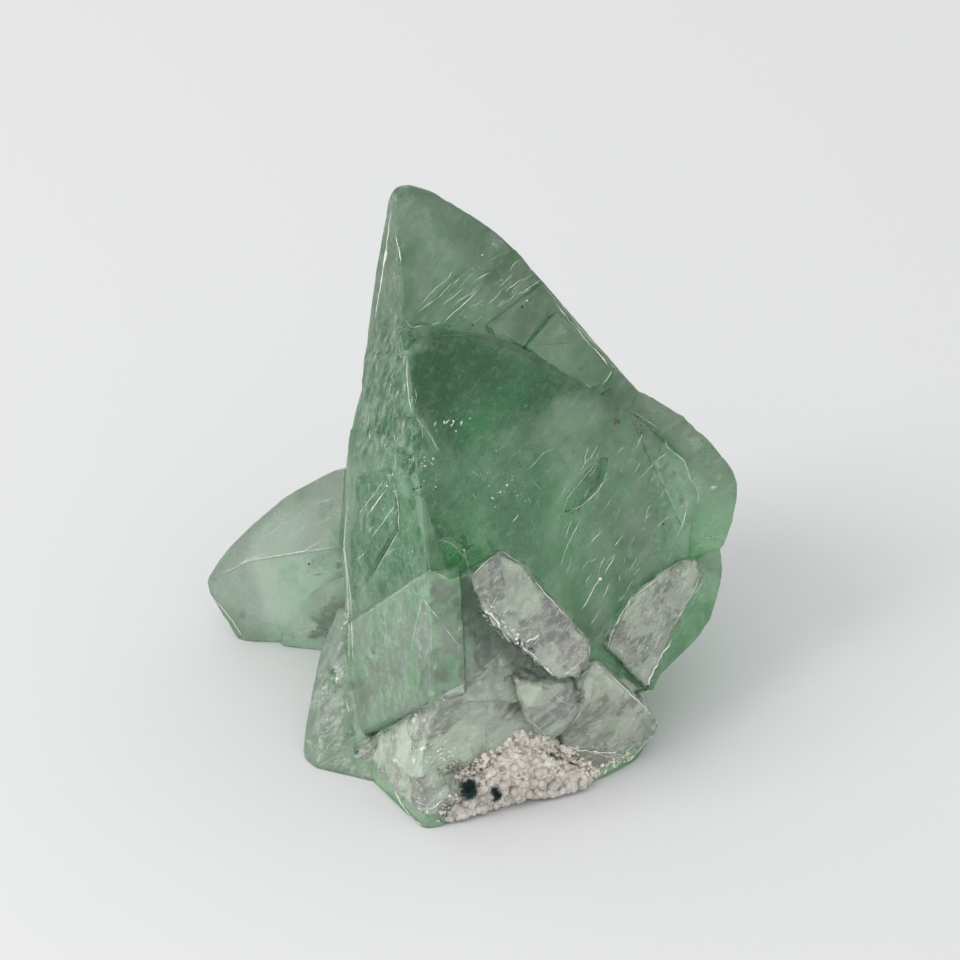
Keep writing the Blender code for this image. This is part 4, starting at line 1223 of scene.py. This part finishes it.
def druse(tree):
    """Beige crumbs that lap over the crystals' foot, brown and dark specks, and a fringe of brown fibres."""
    random = np.random.default_rng(53)
    spots = patch_spots(DRUSE_PATCHES, random)
    places, normals = sight_hits(tree, spots[:, :2])
    seen = ~np.isnan(places[:, 0]) & (places[:, 2] > 0.45)
    crumbs = grains(grain_shape(7, 3), places[seen], spots[seen, 2], random, 0.3, 0.2)
    piece = new_piece("druse_crumbs", *crumbs, crust_material(), slot="matrix_beige", smooth_shaded=False)
    shade = random.random(seen.sum()) ** 4
    point_value(piece.data, "hollow_shade_and_dark_grains", np.repeat(shade, len(crumbs[0]) // seen.sum()))
    for name, spots, colour in (
            ("rusty_specks", patch_spots(SPECK_PATCHES, random), (0.16, 0.09, 0.035)),
            ("dark_specks", np.array(DARK_SPECKS), (0.03, 0.06, 0.045))):
        places, normals = sight_hits(tree, spots[:, :2])
        seen = ~np.isnan(places[:, 0])
        specks = grains(grain_shape(6, 2), places[seen], spots[seen, 2], random, 0.5, 0.3)
        new_piece(name, *specks, line_material(name, colour, 0.6), slot="matrix_beige", smooth_shaded=False)
    roots, tips = [], []
    for start, end, count, low, high in FRINGES:
        share = random.random((count, 1))
        pixels = np.array(start) + (np.array(end) - np.array(start)) * share
        pixels = pixels + random.normal(size=(count, 2)) * 4.0
        places, normals = sight_hits(tree, pixels)
        seen = ~np.isnan(places[:, 0]) & (places[:, 2] > 0.5)
        away = unit(normals[seen] + 0.9 * random.normal(size=(seen.sum(), 3)) + np.array([0.0, -0.3, 0.2]))
        roots.append(places[seen])
        tips.append(places[seen] + away * random.uniform(low, high, (seen.sum(), 1)) * 0.7)
    tips = np.concatenate(tips)
    tips[:, 2] = np.maximum(tips[:, 2], 0.05)
    new_piece("brown_fringe", *fibres(np.concatenate(roots), tips, 0.03, random),
              fibre_material("brown_fringe", (0.045, 0.035, 0.025), (0.26, 0.20, 0.14)), slot="matrix_beige")


def fibres(roots, tips, width, random):
    """Thin three-sided fibres from roots to tips, bent in their middles and drawn to points."""
    count, steps = len(roots), 5
    t = np.linspace(0.0, 1.0, steps)[None, :, None]
    bend = random.normal(size=(count, 1, 3)) * 0.16 * np.linalg.norm(tips - roots, axis=1)[:, None, None]
    spine = roots[:, None] + (tips - roots)[:, None] * t + bend * (4.0 * t * (1.0 - t))
    along = unit(tips - roots)
    side = unit(np.cross(along, random.normal(size=(count, 3))))
    other = np.cross(along, side)
    thick = (width * random.uniform(0.6, 1.3, (count, 1)) * (1.0 - 0.85 * t[0, :, 0]))[..., None]
    thirds = (0.0, 2.0944, 4.1888)
    rows = [spine + thick * (math.cos(a) * side + math.sin(a) * other)[:, None] for a in thirds]
    rows = np.stack(rows, axis=2)
    _, faces = tube_mesh(rows[0])
    all_faces = faces[None] + (np.arange(count) * steps * 3)[:, None, None]
    return rows.reshape(-1, 3), all_faces.reshape(-1, 3)


def fibre_material(name, dark, light):
    """Fine fibres: dull, each a little lighter or darker."""
    material, nodes, shader, place = new_material(name)
    shade = nodes.noise(place, 5.0, 2.0, 0.7)
    colour = nodes.mix(nodes.ramp(shade, 0.4, 0.75), (*dark, 1.0), (*light, 1.0))
    nodes.set(shader.inputs["Base Color"], colour)
    shader.inputs["Roughness"].default_value = 0.6
    return material


def celadonite():
    """The two tufts of dark fibres."""
    random = np.random.default_rng(43)
    material = fibre_material("celadonite_dark_green", (0.008, 0.022, 0.022), (0.07, 0.16, 0.13))
    for name, count in (("celadonite_tuft_large", 900), ("celadonite_tuft_small", 420)):
        low, high = (np.array(corner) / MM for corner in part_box(name))
        middle, reach = (low + high) / 2, (high - low) / 2
        core = middle + np.array([0.0, 0.25, 0.0]) * reach
        away = unit(random.normal(size=(count, 3)))
        tips = middle + away * reach * random.uniform(0.75, 1.12, (count, 1))
        tips[:, 2] = np.maximum(tips[:, 2], 0.05)
        roots = core + (tips - core) * random.uniform(0.05, 0.45, (count, 1))
        new_piece(name.replace("tuft", "fibres"), *fibres(roots, tips, 0.045, random), material,
                  replaces=[name], slot="celadonite_dark_green")


# Floor, light and camera

KEY_SIZE = 0.30  # m
KEY_POWER = 1.68  # W
KEY_COLOUR = (1.0, 0.985, 0.96)
KEY_WAY = (-50.0, -19.0, 50.0)
KEY_DISTANCE = 0.6  # m
SKY_COLOUR = (0.975, 0.972, 0.968, 1.0)
SKY_STRENGTH = 0.935
FLOOR_COLOUR = (0.670, 0.678, 0.690, 1.0)


def add_stage():
    """A plain pale floor, a soft key light from the left, an even pale sky, and the camera."""
    bpy.ops.mesh.primitive_plane_add(size=6.0, location=(0.0, 0.0, -0.0001))
    floor = bpy.context.object
    floor.name = "pale_floor"
    material, _, shader, _ = new_material("pale_floor")
    shader.inputs["Base Color"].default_value = FLOOR_COLOUR
    shader.inputs["Roughness"].default_value = 0.7
    shader.inputs["Specular IOR Level"].default_value = 0.2
    floor.data.materials.append(material)
    light = bpy.data.lights.new("key", "AREA")
    light.size = KEY_SIZE
    light.energy = KEY_POWER
    light.color = KEY_COLOUR
    key = bpy.data.objects.new("key", light)
    aim = Vector(KEY_WAY).normalized()
    key.location = aim * KEY_DISTANCE + Vector((0.0, 0.0, 0.02))
    key.rotation_euler = aim.to_track_quat("Z", "Y").to_euler()
    bpy.context.scene.collection.objects.link(key)
    world = bpy.data.worlds.new("sky")
    world.use_nodes = True
    world.node_tree.nodes["Background"].inputs["Color"].default_value = SKY_COLOUR
    world.node_tree.nodes["Background"].inputs["Strength"].default_value = SKY_STRENGTH
    bpy.context.scene.world = world
    camera = bpy.data.cameras.new("camera")
    camera.sensor_width = 36.0
    camera.lens = camera.sensor_width * EYE_DISTANCE * PIXELS_PER_MM / (2.0 * HALF_VIEW)
    camera.clip_end = 20.0
    eye = bpy.data.objects.new("camera", camera)
    eye.location = Vector(EYE * MM)
    eye.rotation_euler = (math.pi / 2 - SIGHT_SLOPE, 0.0, 0.0)
    bpy.context.scene.collection.objects.link(eye)
    bpy.context.scene.camera = eye
    bpy.context.scene.view_settings.view_transform = "Standard"
    cycles = bpy.context.scene.cycles
    cycles.max_bounces = 7
    cycles.transmission_bounces = 7
    cycles.diffuse_bounces = 4
    cycles.glossy_bounces = 3


def main():
    add_stage()
    points, triangles, *veiling = crystals()
    veils(points, triangles, *veiling)
    tree = BVHTree.FromPolygons(points.tolist(), triangles.tolist())
    face_lines(tree)
    glints(tree, np.random.default_rng(37))
    everything = joined([(points, triangles), crust()])
    druse(BVHTree.FromPolygons(everything[0].tolist(), everything[1].tolist()))
    celadonite()


main()
